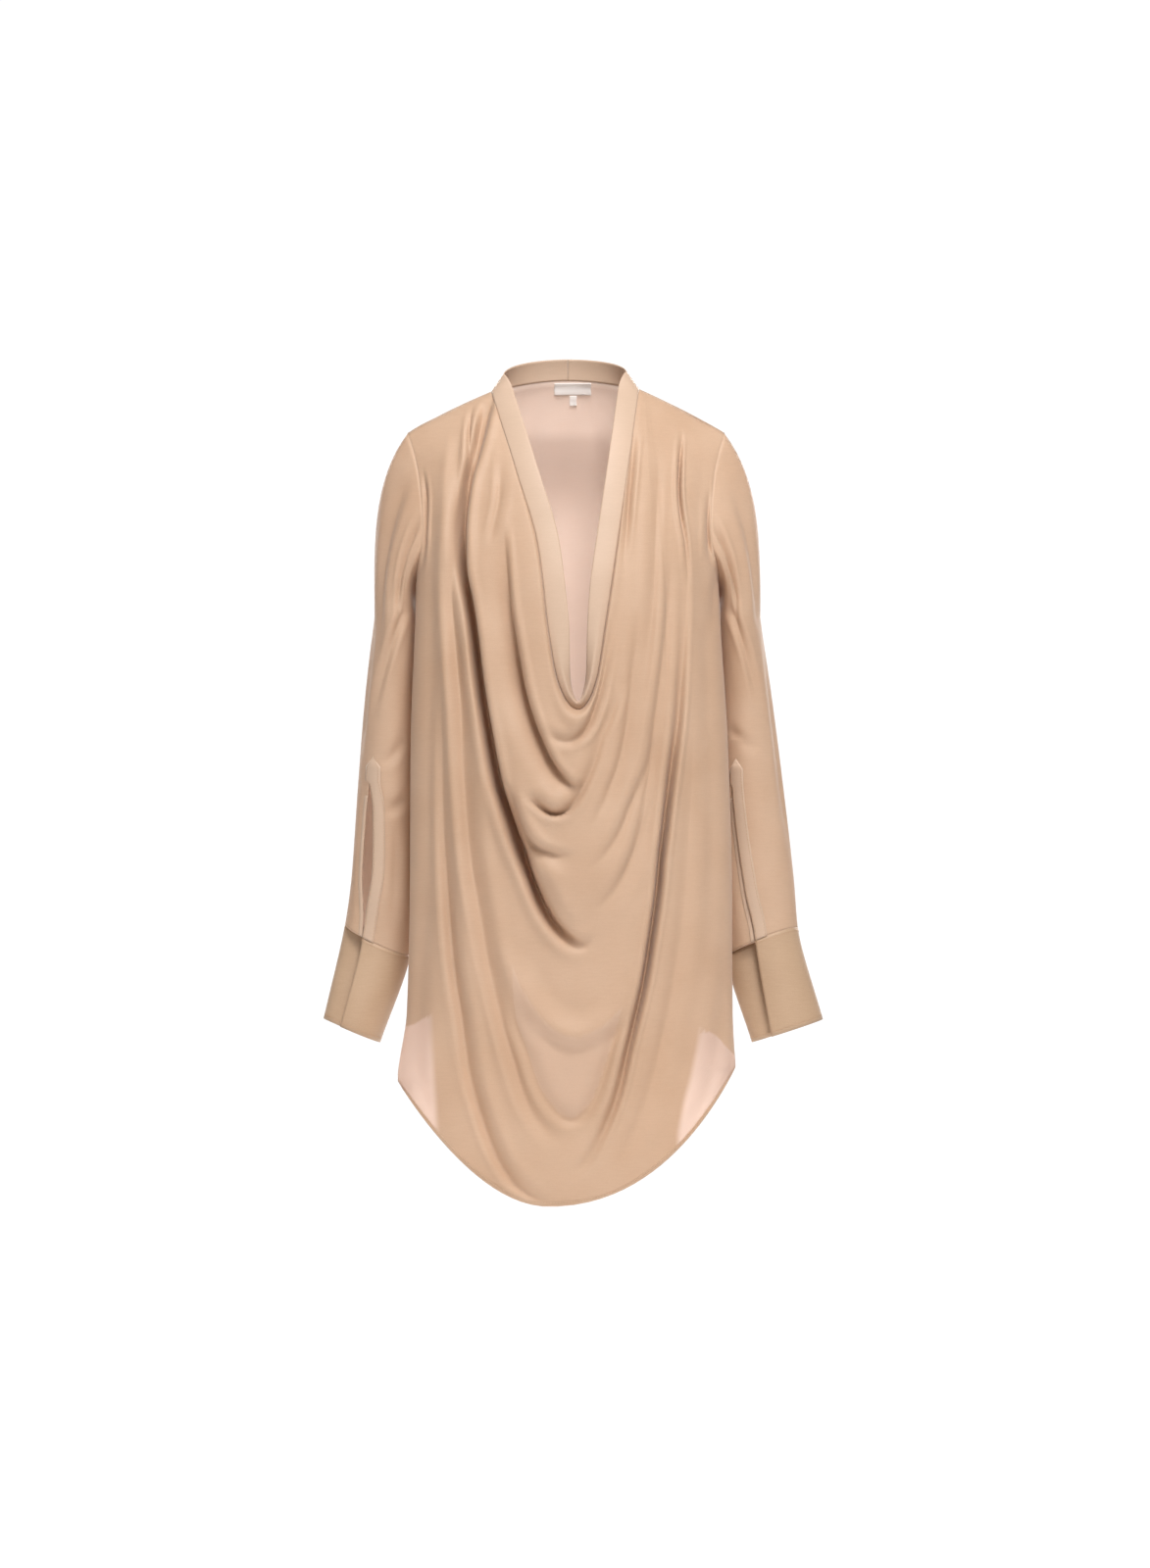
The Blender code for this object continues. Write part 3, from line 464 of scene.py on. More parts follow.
@dataclass(frozen=True)
class Silk:
    """Silk crepe de chine: plain woven from tightly twisted weft, dry and pebbled, with a soft shine.

    The weft lies level round the body, so its slubs are drawn out sideways. Threads 0.2 mm apart are too
    fine to show in the render, so the grain is drawn 1.3 mm high and 14 mm long. face and deep are the two
    tones that the grain mixes. The paler, pinker colour mixed in where one layer is lit from behind is
    painted backlight, a glow painted into the base colour; passed is the tone of the light that comes
    through elsewhere.
    """

    name: str = "silk_crepe_de_chine"
    face: str = "D8BBA1"
    deep: str = "C6A588"
    single: str = "F1E3DA"
    roughness: float = 0.62
    sheen: float = 0.15
    see_through: float = 0.30
    single_see_through: float = 0.80
    grain_height: float = 1.3
    grain_length: float = 14.0
    pebble: float = 1.1
    cloud: float = 90.0
    passed: str = "E4CFBC"

    def make(self) -> bpy.types.Material:
        """The material."""
        made, tree, place = new_material(self.name)
        stretch = (1000 / self.grain_length, 1000 / self.grain_length, 1000 / self.grain_height)
        level = add_node(tree, "ShaderNodeMapping", {"Vector": place, "Scale": stretch}).outputs["Vector"]
        grain = add_node(tree, "ShaderNodeTexNoise", {"Vector": level, "Scale": 1.0, "Detail": 3.0})
        pebble, cloud = noise(tree, place, self.pebble, 1.0), noise(tree, place, self.cloud, 2.0)
        weave = add_node(tree, "ShaderNodeMath", {0: grain.outputs["Fac"], 1: pebble})
        mottle = add_node(
            tree, "ShaderNodeMapRange",
            {"Value": weave.outputs[0], "From Min": 0.7, "From Max": 1.3, "To Min": 0.3, "To Max": 0.7},
        )
        drift = add_node(
            tree, "ShaderNodeMapRange",
            {"Value": cloud, "From Min": 0.3, "From Max": 0.7, "To Min": -0.25, "To Max": 0.25},
        )
        both = {0: mottle.outputs[0], 1: drift.outputs[0]}
        share = add_node(tree, "ShaderNodeMath", both, use_clamp=True)
        cloth = blend(tree, share.outputs[0], linear(self.face), linear(self.deep))
        # Painted backlight: how far the point lies inside a zone of one layer, where the base colour is
        # painted paler and pinker.
        depth = add_node(tree, "ShaderNodeAttribute", attribute_name="single").outputs["Fac"]
        least, most = PAINTED_BACKLIGHT_REACH - PAINTED_BACKLIGHT_EASE, PAINTED_BACKLIGHT_REACH + PAINTED_BACKLIGHT_EASE
        single_layer_painted_share = add_node(
            tree, "ShaderNodeMapRange", {"Value": depth, "From Min": least, "From Max": most},
            interpolation_type="SMOOTHSTEP",
        ).outputs[0]
        colour = blend(tree, single_layer_painted_share, cloth, linear(self.single))
        tint = blend(tree, single_layer_painted_share, linear(self.passed), linear(self.single))
        bump = add_node(
            tree, "ShaderNodeBump", {"Height": weave.outputs[0], "Strength": 0.25, "Distance": 0.25 * MM},
        )
        shader = add_node(tree, "ShaderNodeBsdfPrincipled", {
            "Base Color": colour, "Roughness": self.roughness, "Metallic": 0.0, "IOR": 1.54,
            "Sheen Weight": self.sheen, "Sheen Roughness": 0.45, "Normal": bump.outputs["Normal"],
        })
        glow = add_node(
            tree, "ShaderNodeBsdfTranslucent", {"Color": tint, "Normal": bump.outputs["Normal"]},
        )
        through = add_node(
            tree, "ShaderNodeMapRange",
            {"Value": single_layer_painted_share, "To Min": self.see_through, "To Max": self.single_see_through},
        )
        show_mix(tree, through.outputs[0], shader, glow)
        return made


@dataclass(frozen=True)
class Satin:
    """Woven polyester satin of the label: off-white, smooth, with a fine level rib."""

    name: str = "label_satin"
    light: str = "FAF8F6"
    dark: str = "EFEBE8"
    rib: float = 1.2
    waves_in_unit: float = 20.0
    see_through: float = 0.1

    def make(self) -> bpy.types.Material:
        """The material."""
        made, tree, place = new_material(self.name)
        scale = 1000 / self.rib / self.waves_in_unit
        ribs = add_node(
            tree, "ShaderNodeTexWave",
            {"Vector": place, "Scale": scale, "Distortion": 0.6, "Detail": 1.0}, bands_direction="Z",
        )
        colour = blend(tree, ribs.outputs["Fac"], linear(self.light), linear(self.dark))
        bump = add_node(
            tree, "ShaderNodeBump", {"Height": ribs.outputs["Fac"], "Strength": 0.2, "Distance": 0.1 * MM},
        )
        shader = add_node(tree, "ShaderNodeBsdfPrincipled", {
            "Base Color": colour, "Roughness": 0.42, "IOR": 1.57, "Normal": bump.outputs["Normal"],
        })
        glow = add_node(tree, "ShaderNodeBsdfTranslucent", {"Color": colour})
        show_mix(tree, self.see_through, shader, glow)
        return made


@dataclass(frozen=True)
class Thread:
    """Spun polyester sewing thread, a shade deeper than the silk, with its twist as a fine noise."""

    name: str = "sewing_thread"
    light: str = "CFAF92"
    dark: str = "A98667"
    twist: float = 0.6

    def make(self) -> bpy.types.Material:
        """The material."""
        made, tree, place = new_material(self.name)
        colour = blend(tree, noise(tree, place, self.twist, 1.0), linear(self.light), linear(self.dark))
        shader = add_node(
            tree, "ShaderNodeBsdfPrincipled", {"Base Color": colour, "Roughness": 0.6, "IOR": 1.5},
        )
        add_node(tree, "ShaderNodeOutputMaterial", {"Surface": shader.outputs[0]})
        return made


@dataclass(frozen=True)
class Paper:
    """Matt white paper on a table lit from below, so that it shows white and softens the shadows."""

    name: str = "lit_paper"
    colour: str = "F7F7F7"
    glow: float = 0.55

    def make(self) -> bpy.types.Material:
        """The material."""
        made = bpy.data.materials.new(self.name)
        made.use_nodes = True
        inputs = made.node_tree.nodes["Principled BSDF"].inputs
        for name in ("Base Color", "Emission Color"):
            inputs[name].default_value = linear(self.colour)
        inputs["Roughness"].default_value = 0.9
        inputs["Emission Strength"].default_value = self.glow
        return made


def add_object(name: str, data):
    """A new object in the scene."""
    made = bpy.data.objects.new(name, data)
    bpy.context.scene.collection.objects.link(made)
    return made


# Points nearer to each other than this, in metres, are made one.
MERGE = 2e-5
# The upright axis of the body, which outer faces look away from, is this many millimetres in front of y 0.
AXIS_FORWARD = 20.0


def sheet_mesh(
    name: str, points, faces, wall: float, face: Face, material, centre=None, attributes=None, inner=None,
):
    """Makes an object of cloth with a thin wall.

    Args:
        name: the object's name.
        points: (n, 3) points in millimetres.
        faces: the faces, as indices.
        wall: the cloth's thickness in millimetres.
        face: how its outer side is found.
        material: its material.
        centre: for a sleeve, a function from heights to the x and y of its middle.
        attributes: numbers for each point, by name.
        inner: the material of its inner side, where that is another one.

    Returns:
        The object.
    """
    mesh = bpy.data.meshes.new(name)
    mesh.from_pydata((np.asarray(points) * MM).tolist(), [], faces)
    for key, values in (attributes or {}).items():
        layer = mesh.attributes.new(key, "FLOAT", "POINT")
        layer.data.foreach_set("value", np.asarray(values, np.float32))
    net = bmesh.new()
    net.from_mesh(mesh)
    bmesh.ops.remove_doubles(net, verts=net.verts, dist=MERGE)
    bmesh.ops.recalc_face_normals(net, faces=net.faces)
    lean = 0.0
    for part in net.faces:
        middle = part.calc_center_median() / MM
        if face is Face.FRONT:
            out = (0.0, -1.0, 0.0)
        elif face is Face.SLEEVE:
            x, y = centre(middle[2])
            out = (middle[0] - x, middle[1] - y, 0.0)
        else:
            out = (middle[0], middle[1] + AXIS_FORWARD, 0.0)
        lean += part.normal.dot(out) * part.calc_area()
    if lean < 0:
        bmesh.ops.reverse_faces(net, faces=net.faces)
    net.to_mesh(mesh)
    net.free()
    mesh.materials.append(material)
    mesh.shade_smooth()
    piece = add_object(name, mesh)
    shell = piece.modifiers.new("wall", "SOLIDIFY")
    shell.thickness = wall * MM
    shell.offset = 0.0
    if inner:
        mesh.materials.append(inner)
        shell.material_offset = 1
    return piece


def grid_faces(rows: int, columns: int) -> list:
    """Quads of a grid whose points are listed row by row."""
    first = (np.arange(rows - 1)[:, None] * columns + np.arange(columns - 1)).reshape(-1)
    return np.stack([first, first + 1, first + columns + 1, first + columns], axis=1).tolist()


def grid_piece(name: str, grid, wall: float, face: Face, material, **more):
    """Cloth from a grid of points, as sheet_mesh."""
    return sheet_mesh(name, grid.reshape(-1, 3), grid_faces(*grid.shape[:2]), wall, face, material, **more)


@dataclass(frozen=True)
class Guide:
    """One of the nested U curves of the front: x at the shoulder and at four depths down each leg."""

    right: tuple
    bottom: tuple
    left: tuple


@dataclass(frozen=True)
class Fold:
    """A broad fold of the front: its level among the guides, and how far it stands out of the form."""

    level: float
    right: float
    bottom: float
    left: float


FRONT_CREASES = (
    Crease("main_slot", 6.0, 8.0, 1.5, ((-90, 25, 5), (-100, -20, 14), (-109, -57, 21), (-116, -82, 26),
           (-123, -144, 31), (-122, -183, 36), (-113, -231, 40), (-108, -266, 42), (-102, -316, 42),
           (-92, -376, 42), (-78, -445, 42), (-62, -500, 40), (-45, -540, 36), (-28, -581, 28),
           (-10, -607, 18), (10, -621, 8), (31, -623, 0)), 3.2),
    Crease("slot_foot", 11.0, 7.0, 1.0, ((-87, -414, 0), (-72, -454, 8), (-57, -504, 14),
           (-41, -543, 16), (-25, -577, 13), (-8, -604, 8), (10, -616, 0))),
    Crease("second_slot", 10.0, 7.0, 0.0, ((-125, -23, 0), (-129, -63, 5), (-133, -152, 9),
           (-135, -214, 11), (-130, -288, 12), (-125, -345, 11), (-122, -414, 9), (-117, -483, 8),
           (-112, -529, 8), (-102, -586, 8), (-91, -650, 8), (-77, -707, 8), (-63, -759, 8),
           (-49, -803, 7), (-33, -831, 5), (-15, -849, 2), (1, -853, 0))),
    Crease("first_swag", 4.0, 15.0, 3.5, ((-74, -138, 0), (-70, -190, 8), (-67, -224, 14),
           (-60, -268, 20), (-54, -302, 24), (-46, -338, 26), (-34, -374, 26), (-22, -402, 24),
           (-9, -424, 18), (3, -437, 9), (17, -442, 0))),
    Crease("crescent", 9.0, 4.0, 3.0, ((-47, -451, 0), (-34, -462, 9), (-24, -470, 14), (-14, -473, 16),
           (-1, -469, 14), (10, -457, 10), (21, -436, 7), (31, -411, 5), (38, -385, 4), (53, -351, 3),
           (66, -310, 0))),
    Crease("lower_crescent", 5.0, 12.0, 3.0, ((-69, -437, 0), (-61, -462, 9), (-53, -483, 14),
           (-40, -504, 15), (-26, -514, 11), (-10, -519, 5), (8, -520, 0))),
    Crease("right_red_fold", 6.0, 9.0, 1.5, ((24, -494, 0), (36, -470, 3), (47, -445, 5), (59, -411, 6),
           (68, -368, 6), (75, -308, 5), (80, -266, 3), (85, -218, 0))),
    Crease("right_mid_fold", 6.0, 9.0, 1.5, ((24, -538, 0), (43, -518, 3), (61, -489, 5), (72, -461, 6),
           (85, -432, 6), (95, -402, 6), (102, -351, 5), (110, -288, 4), (118, -223, 3),
           (122, -161, 0))),
    Crease("right_lower_fold", 6.0, 10.0, 1.5, ((31, -586, 0), (49, -566, 3), (68, -535, 5),
           (82, -494, 6), (91, -454, 5), (98, -414, 3), (102, -379, 0))),
    Crease("right_slot", 4.0, 6.0, 1.5, ((138, -161, 0), (136, -230, 3), (132, -310, 6),
           (128, -368, 10),
           (123, -411, 15), (118, -453, 20), (114, -488, 24), (110, -521, 28), (106, -564, 30),
           (98, -619, 30), (90, -667, 27), (82, -702, 22), (71, -745, 16), (59, -796, 11),
           (41, -842, 7),
           (24, -874, 4), (6, -892, 0)), 2.6),
    Crease("far_right_fold", 9.0, 9.0, 1.0, ((145, -322, 0), (144, -414, 3), (139, -506, 4),
           (132, -598, 4), (123, -667, 5), (112, -724, 5), (98, -782, 4), (79, -839, 3),
           (56, -885, 0))),
    Crease("outer_fold", 9.0, 5.0, 0.5, ((-146, -322, 0), (-145, -414, 5), (-144, -483, 8),
           (-141, -552, 11), (-137, -610, 12), (-131, -667, 11), (-124, -707, 10), (-115, -773, 9),
           (-100, -826, 9), (-84, -868, 8), (-66, -897, 7), (-45, -915, 5), (-22, -925, 0))),
    Crease("low_crest", 13.0, 9.0, 0.0, ((-82, -621, 0), (-55, -670, -5), (-29, -708, -7),
           (-7, -724, -8), (10, -729, -8), (41, -715, -6), (70, -681, -3), (82, -650, 0))),
    Crease("low_u", 9.0, 5.0, 1.0, ((-66, -690, 0), (-59, -719, 4), (-47, -750, 6), (-33, -791, 6),
           (-12, -821, 5), (7, -829, 5), (29, -808, 5), (41, -777, 5), (55, -731, 4), (66, -702, 0))),
    Crease("under_v", 6.0, 5.0, 1.5, ((-36, -370, 0), (-20, -382, 3), (-1, -388, 5), (13, -382, 7),
           (23, -370, 9), (31, -350, 9), (38, -327, 7), (47, -276, 3), (54, -230, 0))),
    Crease("beside_band_left", 6.0, 4.0, 1.0, ((-77, -57, 0), (-79, -103, 3), (-84, -132, 3),
           (-91, -161, 0))),
    Crease("beside_band", 3.5, 5.0, 0.5, ((79, -23, 0), (77, -46, 4), (74, -77, 6), (71, -108, 6),
           (68, -144, 3), (63, -184, 0))),
    Crease("upper_right_crease", 2.0, 3.0, 1.0, ((135, -23, 0), (132, -59, 6), (131, -92, 11),
           (133, -121, 10), (138, -156, 5), (141, -207, 0)), 2.2),
    Crease("right_upper_leg", 5.0, 7.0, 0.5, ((106, -57, 0), (102, -138, 3), (98, -230, 4),
           (91, -310, 3), (82, -368, 0))),
    Crease("left_soft_band", 10.0, 10.0, 0.0, ((-162, -57, 0), (-159, -161, 3), (-158, -299, 5),
           (-160, -437, 5), (-162, -575, 4), (-164, -678, 2), (-167, -736, 0))),
    Crease("right_soft_band", 9.0, 10.0, 0.0, ((158, -23, 0), (158, -138, 3), (161, -276, 4),
           (164, -437, 4), (166, -575, 3), (164, -702, 0))),
    Crease("shoulder_tuck", 3.0, 3.0, 1.0, ((-106, 18, 2), (-113, 2, 5), (-116, -23, 6), (-117, -46, 4),
           (-121, -80, 0))),
    Crease("left_armhole_upper", 2.5, 5.0, 0.5, ((170, -92, 0), (168, -115, 6), (167, -150, 8),
           (167, -190, 0))),
    Crease("left_armhole_lower", 4.0, 6.0, 0.5, ((177, -161, 0), (175, -184, 4), (171, -221, 4),
           (170, -264, 0))),
    Crease("right_armhole_upper", 2.5, 5.0, 0.5, ((-170, -69, 0), (-166, -103, 6), (-167, -138, 8),
           (-170, -195, 0))),
    Crease("hem_ripple_right", 8.0, 8.0, 0.0, ((-169, -529, 0), (-171, -621, 3), (-174, -702, 4),
           (-175, -759, 4), (-167, -816, 2))),
    Crease("hem_ripple_left", 8.0, 8.0, 0.0, ((179, -552, 0), (182, -644, 3), (177, -724, 4),
           (166, -793, 3), (146, -839, 2))),
)


@dataclass
class Cowl:
    """The front: one wide piece that hangs in nested U curves from the neck seam."""

    rows: tuple = (34, 28, 32, 44, 30, 22)
    columns: int = 236
    wall: float = 0.5
    middle_guide: int = 4
    fine_steps: int = 1001
    depths: tuple = (0.0, 0.25, 0.5, 0.75, 0.9, 1.0)
    guides: tuple = (
        Guide((-90, -61, -34, -22.5, -12.5), (12.5, -351), (34.5, 43.5, 57.5, 71, 84)),
        Guide((-92, -78, -70, -55, -35.5), (1, -437), (33, 51, 68, 76, 86.5)),
        Guide((-95, -100, -91, -77, -54), (7, -520), (63, 81.5, 93, 90, 89)),
        Guide((-99, -122, -106, -75, -43.5), (4.5, -615), (66.5, 95.5, 112.5, 107, 94)),
        Guide((-128, -132, -124, -101, -72.5), (-1, -831), (71, 94, 126.5, 127.5, 130)),
        Guide((-154, -148, -145, -126.5, -94), (-19.5, -914), (87, 121, 146, 154, 156)),
    )
    folds: tuple = (
        Fold(0.0, 0, 0, 0),
        Fold(0.5, 2, 8, 2),
        Fold(1.4, 5, 15, 4),
        Fold(2.3, 5, 16, 4),
        Fold(2.9, 2, 9, 2),
        Fold(3.3, 0, 3, 0),
        Fold(4.2, 2, 5, 1),
        Fold(5.0, 2, 2, 2),
        Fold(6.0, 0, 0, 0),
    )
    leg_from: float = 0.6
    shoulder_fade: float = 10.0
    neck_fade: float = 0.12
    hem_fade: float = 0.35
    side_fade: float = 0.03
    lip_rise: float = 2.0
    lip_forward: float = 6.0
    lip_level: float = 0.15
    lip_height: float = 0.12
    lip_width: float = 0.26
    roll_depth: float = 4.5
    roll_level: float = 0.07
    roll_reach: float = 0.5
    roll_to: float = 0.95
    roll_fade: float = 0.3
    straight_back: float = 2.0
    gap_depth: float = 12.0
    gap_level: float = 0.055
    gap_width: float = 0.42
    # Outlines of the zones where a paler, backlit tone is painted: the side vents and the cowl's thin U.
    right_inner: tuple = ((-843, -152), (-819, -153), (-760, -157), (-705, -160))
    right_top: tuple = ((-200, -724), (-179, -718), (-160, -705))
    left_inner: tuple = ((-843, 129), (-806, 136), (-777, 144), (-749, 150), (-720, 156))
    left_top: tuple = ((156, -720), (176, -733), (182, -741), (200, -760))
    inner_crest: tuple = (
        (-66, -640), (-55, -667), (-29, -707), (-7, -724), (10, -729), (41, -715), (66, -690),
    )
    inner_u: tuple = (
        (-66, -660), (-60, -715), (-47, -747), (-33, -791), (-11, -821), (7, -829), (29, -808),
        (41, -777), (55, -729), (66, -690),
    )
    inner_half: float = 66.0
    inner_slope: float = 3.0
    inner_start: float = 2.0
    inner_most: float = -1.0
    vent_slope: float = 0.4

    def guide_curve(self, guide: Guide, t: np.ndarray) -> tuple:
        """Angles and heights of a guide.

        Args:
            guide: the guide.
            t: places along it, from -1 at the right shoulder to 1 at the left.

        Returns:
            Angles round the body and heights.
        """
        places = [-math.sqrt(1 - share) for share in self.depths]
        right = smooth(-np.abs(t), places, (*guide.right, guide.bottom[0]))
        left = smooth(-np.abs(t), places, (*guide.left[::-1], guide.bottom[0]))
        x = np.where(t <= 0, right, left)
        top = np.where(t <= 0, FORM.shoulder_z(guide.right[0]), FORM.shoulder_z(guide.left[-1]))
        z = top + (guide.bottom[1] - top) * (1 - t * t)
        return FORM.angle_at(x, z, FORM.front_power), z

    def outer_edge(self, t: np.ndarray) -> tuple:
        """Angles and heights of the outer edge: armhole, side seam, flared vent and hem.

        Args:
            t: places, from -1 at the right shoulder tip to 1 at the left.

        Returns:
            Angles round the body and heights.
        """
        sign = np.where(t > 0, 1, -1)
        corner_x = np.where(t > 0, SEAMS.corner_left[0], SEAMS.corner_right[0])
        corner_z = np.where(t > 0, SEAMS.corner_left[1], SEAMS.corner_right[1])
        full = np.where(t > 0, SEAMS.fullness_left, SEAMS.fullness_right)
        low_x, low_z = SEAMS.bottom
        top = FORM.tip_right[1]
        z = top + (low_z - top) * (1 - t * t)
        flare = np.clip((SEAMS.vent_z - z) / (SEAMS.vent_z - corner_z), 0, 1)
        side = SEAMS.side_angle(z)
        lower = side + (math.pi / 2 - side) * flare
        upper = np.where(z >= SEAMS.underarm_z, SEAMS.armhole_angle(z, True), lower)
        share = np.sqrt(np.clip((z - low_z) / (corner_z - low_z), 0, 1))
        x = low_x + (corner_x - low_x) * (share + full * share * (1 - share))
        return np.where(z >= corner_z, sign * upper, FORM.angle_at(x, z, FORM.front_power)), z

    def places(self) -> np.ndarray:
        """Places of the columns, evenly spaced along a guide in the middle of the front.

        Returns:
            Places from -1 to 1.
        """
        t = np.linspace(-1, 1, self.fine_steps)
        angle, z = self.guide_curve(self.guides[self.middle_guide], t)
        along = lengths_along(FORM.place(angle, z, True))
        return np.interp(np.linspace(0, along[-1], self.columns), along, t)

    def levels(self) -> np.ndarray:
        """Levels of the rows, closer where the guides lie further apart."""
        parts = [np.linspace(i, i + 1, n, endpoint=False) for i, n in enumerate(self.rows)]
        return np.concatenate([*parts, [len(self.rows)]])

    def surface(self, levels: np.ndarray, t: np.ndarray) -> np.ndarray:
        """Points of the form at each level and place.

        Args:
            levels: places among the guides.
            t: places along them.

        Returns:
            The points, row by row.
        """
        curves = [self.guide_curve(guide, t) for guide in self.guides] + [self.outer_edge(t)]
        knots = np.arange(len(curves))
        angles = smooth(levels, knots, [curve[0] for curve in curves])
        heights = smooth(levels, knots, [curve[1] for curve in curves])
        return FORM.place(angles, heights, True)

    def broad_folds(self, levels: np.ndarray, t: np.ndarray) -> np.ndarray:
        """How far the broad folds stand out at each level and place.

        Args:
            levels: places among the guides.
            t: places along them.

        Returns:
            Millimetres out of the form.
        """
        rows = [fold.level for fold in self.folds]
        right, left, bottom = (
            smooth(levels, rows, [getattr(fold, part) for fold in self.folds])[:, None]
            for part in ("right", "left", "bottom")
        )
        leg = np.where(t < 0, right, left)
        out = bottom + (leg - bottom) * step(np.abs(t) / self.leg_from)
        return out * (1 - np.abs(t) ** self.shoulder_fade)

    def grid(self) -> np.ndarray:
        """Points of the finished front.

        Returns:
            Rows of points, from the neck seam to the hem.
        """
        levels, t = self.levels(), self.places()
        grid = self.surface(levels, t)
        out = normals_of(grid)
        height, shift = crease_field(grid[..., [0, 2]].reshape(-1, 2), FRONT_CREASES)
        edge = step(levels / self.neck_fade) * step((len(self.rows) - levels) / self.hem_fade)
        fade = edge[:, None] * step((1 - np.abs(t)) / self.side_fade)
        height = height.reshape(grid.shape[:2]) * fade
        shift = shift.reshape(*grid.shape[:2], 2) * fade[..., None]
        inward = unit(out + np.array((0.0, -self.straight_back, 0.0)))
        made = grid + out * self.broad_folds(levels, t)[..., None] + inward * height[..., None]
        made[..., 0] += shift[..., 0]
        made[..., 2] += shift[..., 1]
        lip = bell(levels - self.lip_level, self.lip_height)[:, None] * bell(t, self.lip_width)
        made[..., 2] += self.lip_rise * lip
        made[..., 1] -= self.lip_forward * lip
        gap = bell(levels, self.gap_level)[:, None] * bell(t, self.gap_width)
        made[..., 1] += self.gap_depth * gap
        roll = step(levels / self.roll_level) * bell(levels - self.roll_level, self.roll_reach)
        across = step((self.roll_to - np.abs(t)) / self.roll_fade)
        made += out * (self.roll_depth * roll[:, None] * across)[..., None]
        return made

    def single(self, grid: np.ndarray) -> np.ndarray:
        """How far points lie inside the zones of one layer, where backlight is painted as a paler, pinker
        tone: the side vents and, in part, the cowl's thin U.

        Args:
            grid: the front.

        Returns:
            Millimetres, more than PAINTED_BACKLIGHT_REACH inside a zone.
        """
        x, z = grid[..., 0], grid[..., 2]
        under = np.interp(x, *zip(*self.inner_crest)) - z
        over = z - np.interp(x, *zip(*self.inner_u))
        within = np.minimum(np.minimum(under, over), self.inner_half - np.abs(x))
        depth = np.minimum(within / self.inner_slope - self.inner_start, self.inner_most)
        for side, inner, top in (
            (Side.RIGHT, self.right_inner, self.right_top), (Side.LEFT, self.left_inner, self.left_top),
        ):
            beyond = side.value * (x - np.interp(z, *zip(*inner)))
            below = np.interp(x, *zip(*top)) - z
            depth = np.maximum(depth, np.minimum(beyond * self.vent_slope, below))
        return np.clip(depth + PAINTED_BACKLIGHT_REACH, 0.0, 2 * PAINTED_BACKLIGHT_REACH)


BACK_CREASES = (
    Crease("right_blade", 12.0, 14.0, 1.0, ((-62, -150, 0), (-66, -230, 4), (-70, -330, 7),
           (-78, -440, 8),
           (-84, -560, 8), (-90, -680, 7), (-96, -800, 6), (-100, -880, 5))),
    Crease("left_blade", 11.0, 15.0, 1.0, ((54, -170, 0), (60, -260, 4), (66, -360, 7), (70, -480, 8),
           (80, -600, 7), (88, -720, 7), (92, -860, 5))),
    Crease("middle_back", 13.0, 11.0, 0.5, ((-4, -260, 0), (-8, -360, 4), (-5, -480, 6), (2, -600, 7),
           (6, -730, 6), (4, -900, 5))),
    Crease("right_waist", 9.0, 12.0, 1.0, ((-128, -250, 0), (-130, -360, 5), (-134, -480, 7),
           (-132, -600, 7),
           (-138, -700, 5), (-146, -780, 3))),
    Crease("left_waist", 10.0, 10.0, 1.0, ((118, -220, 0), (124, -330, 5), (128, -450, 7),
           (126, -570, 6),
           (134, -690, 5), (142, -780, 3))),
    Crease("right_underarm", 6.0, 9.0, 1.0, ((-160, -150, 0), (-150, -190, 4), (-138, -240, 4),
           (-120, -300, 0))),
    Crease("left_underarm", 8.0, 6.0, 1.0, ((158, -160, 0), (146, -200, 4), (130, -250, 4),
           (108, -310, 0))),
    Crease("right_yoke", 10.0, 12.0, 0.0, ((-50, 10, 0), (-56, -40, 2), (-64, -110, 3),
           (-72, -170, 0))),
    Crease("left_yoke", 12.0, 10.0, 0.0, ((46, 10, 0), (54, -50, 2), (60, -120, 3), (64, -180, 0))),
    Crease("right_hip", 8.0, 8.0, 0.5, ((-40, -520, 0), (-44, -640, 4), (-50, -760, 5),
           (-52, -890, 4))),
    Crease("left_hip", 9.0, 7.0, 0.5, ((34, -560, 0), (40, -680, 4), (46, -800, 5), (46, -890, 4))),
)


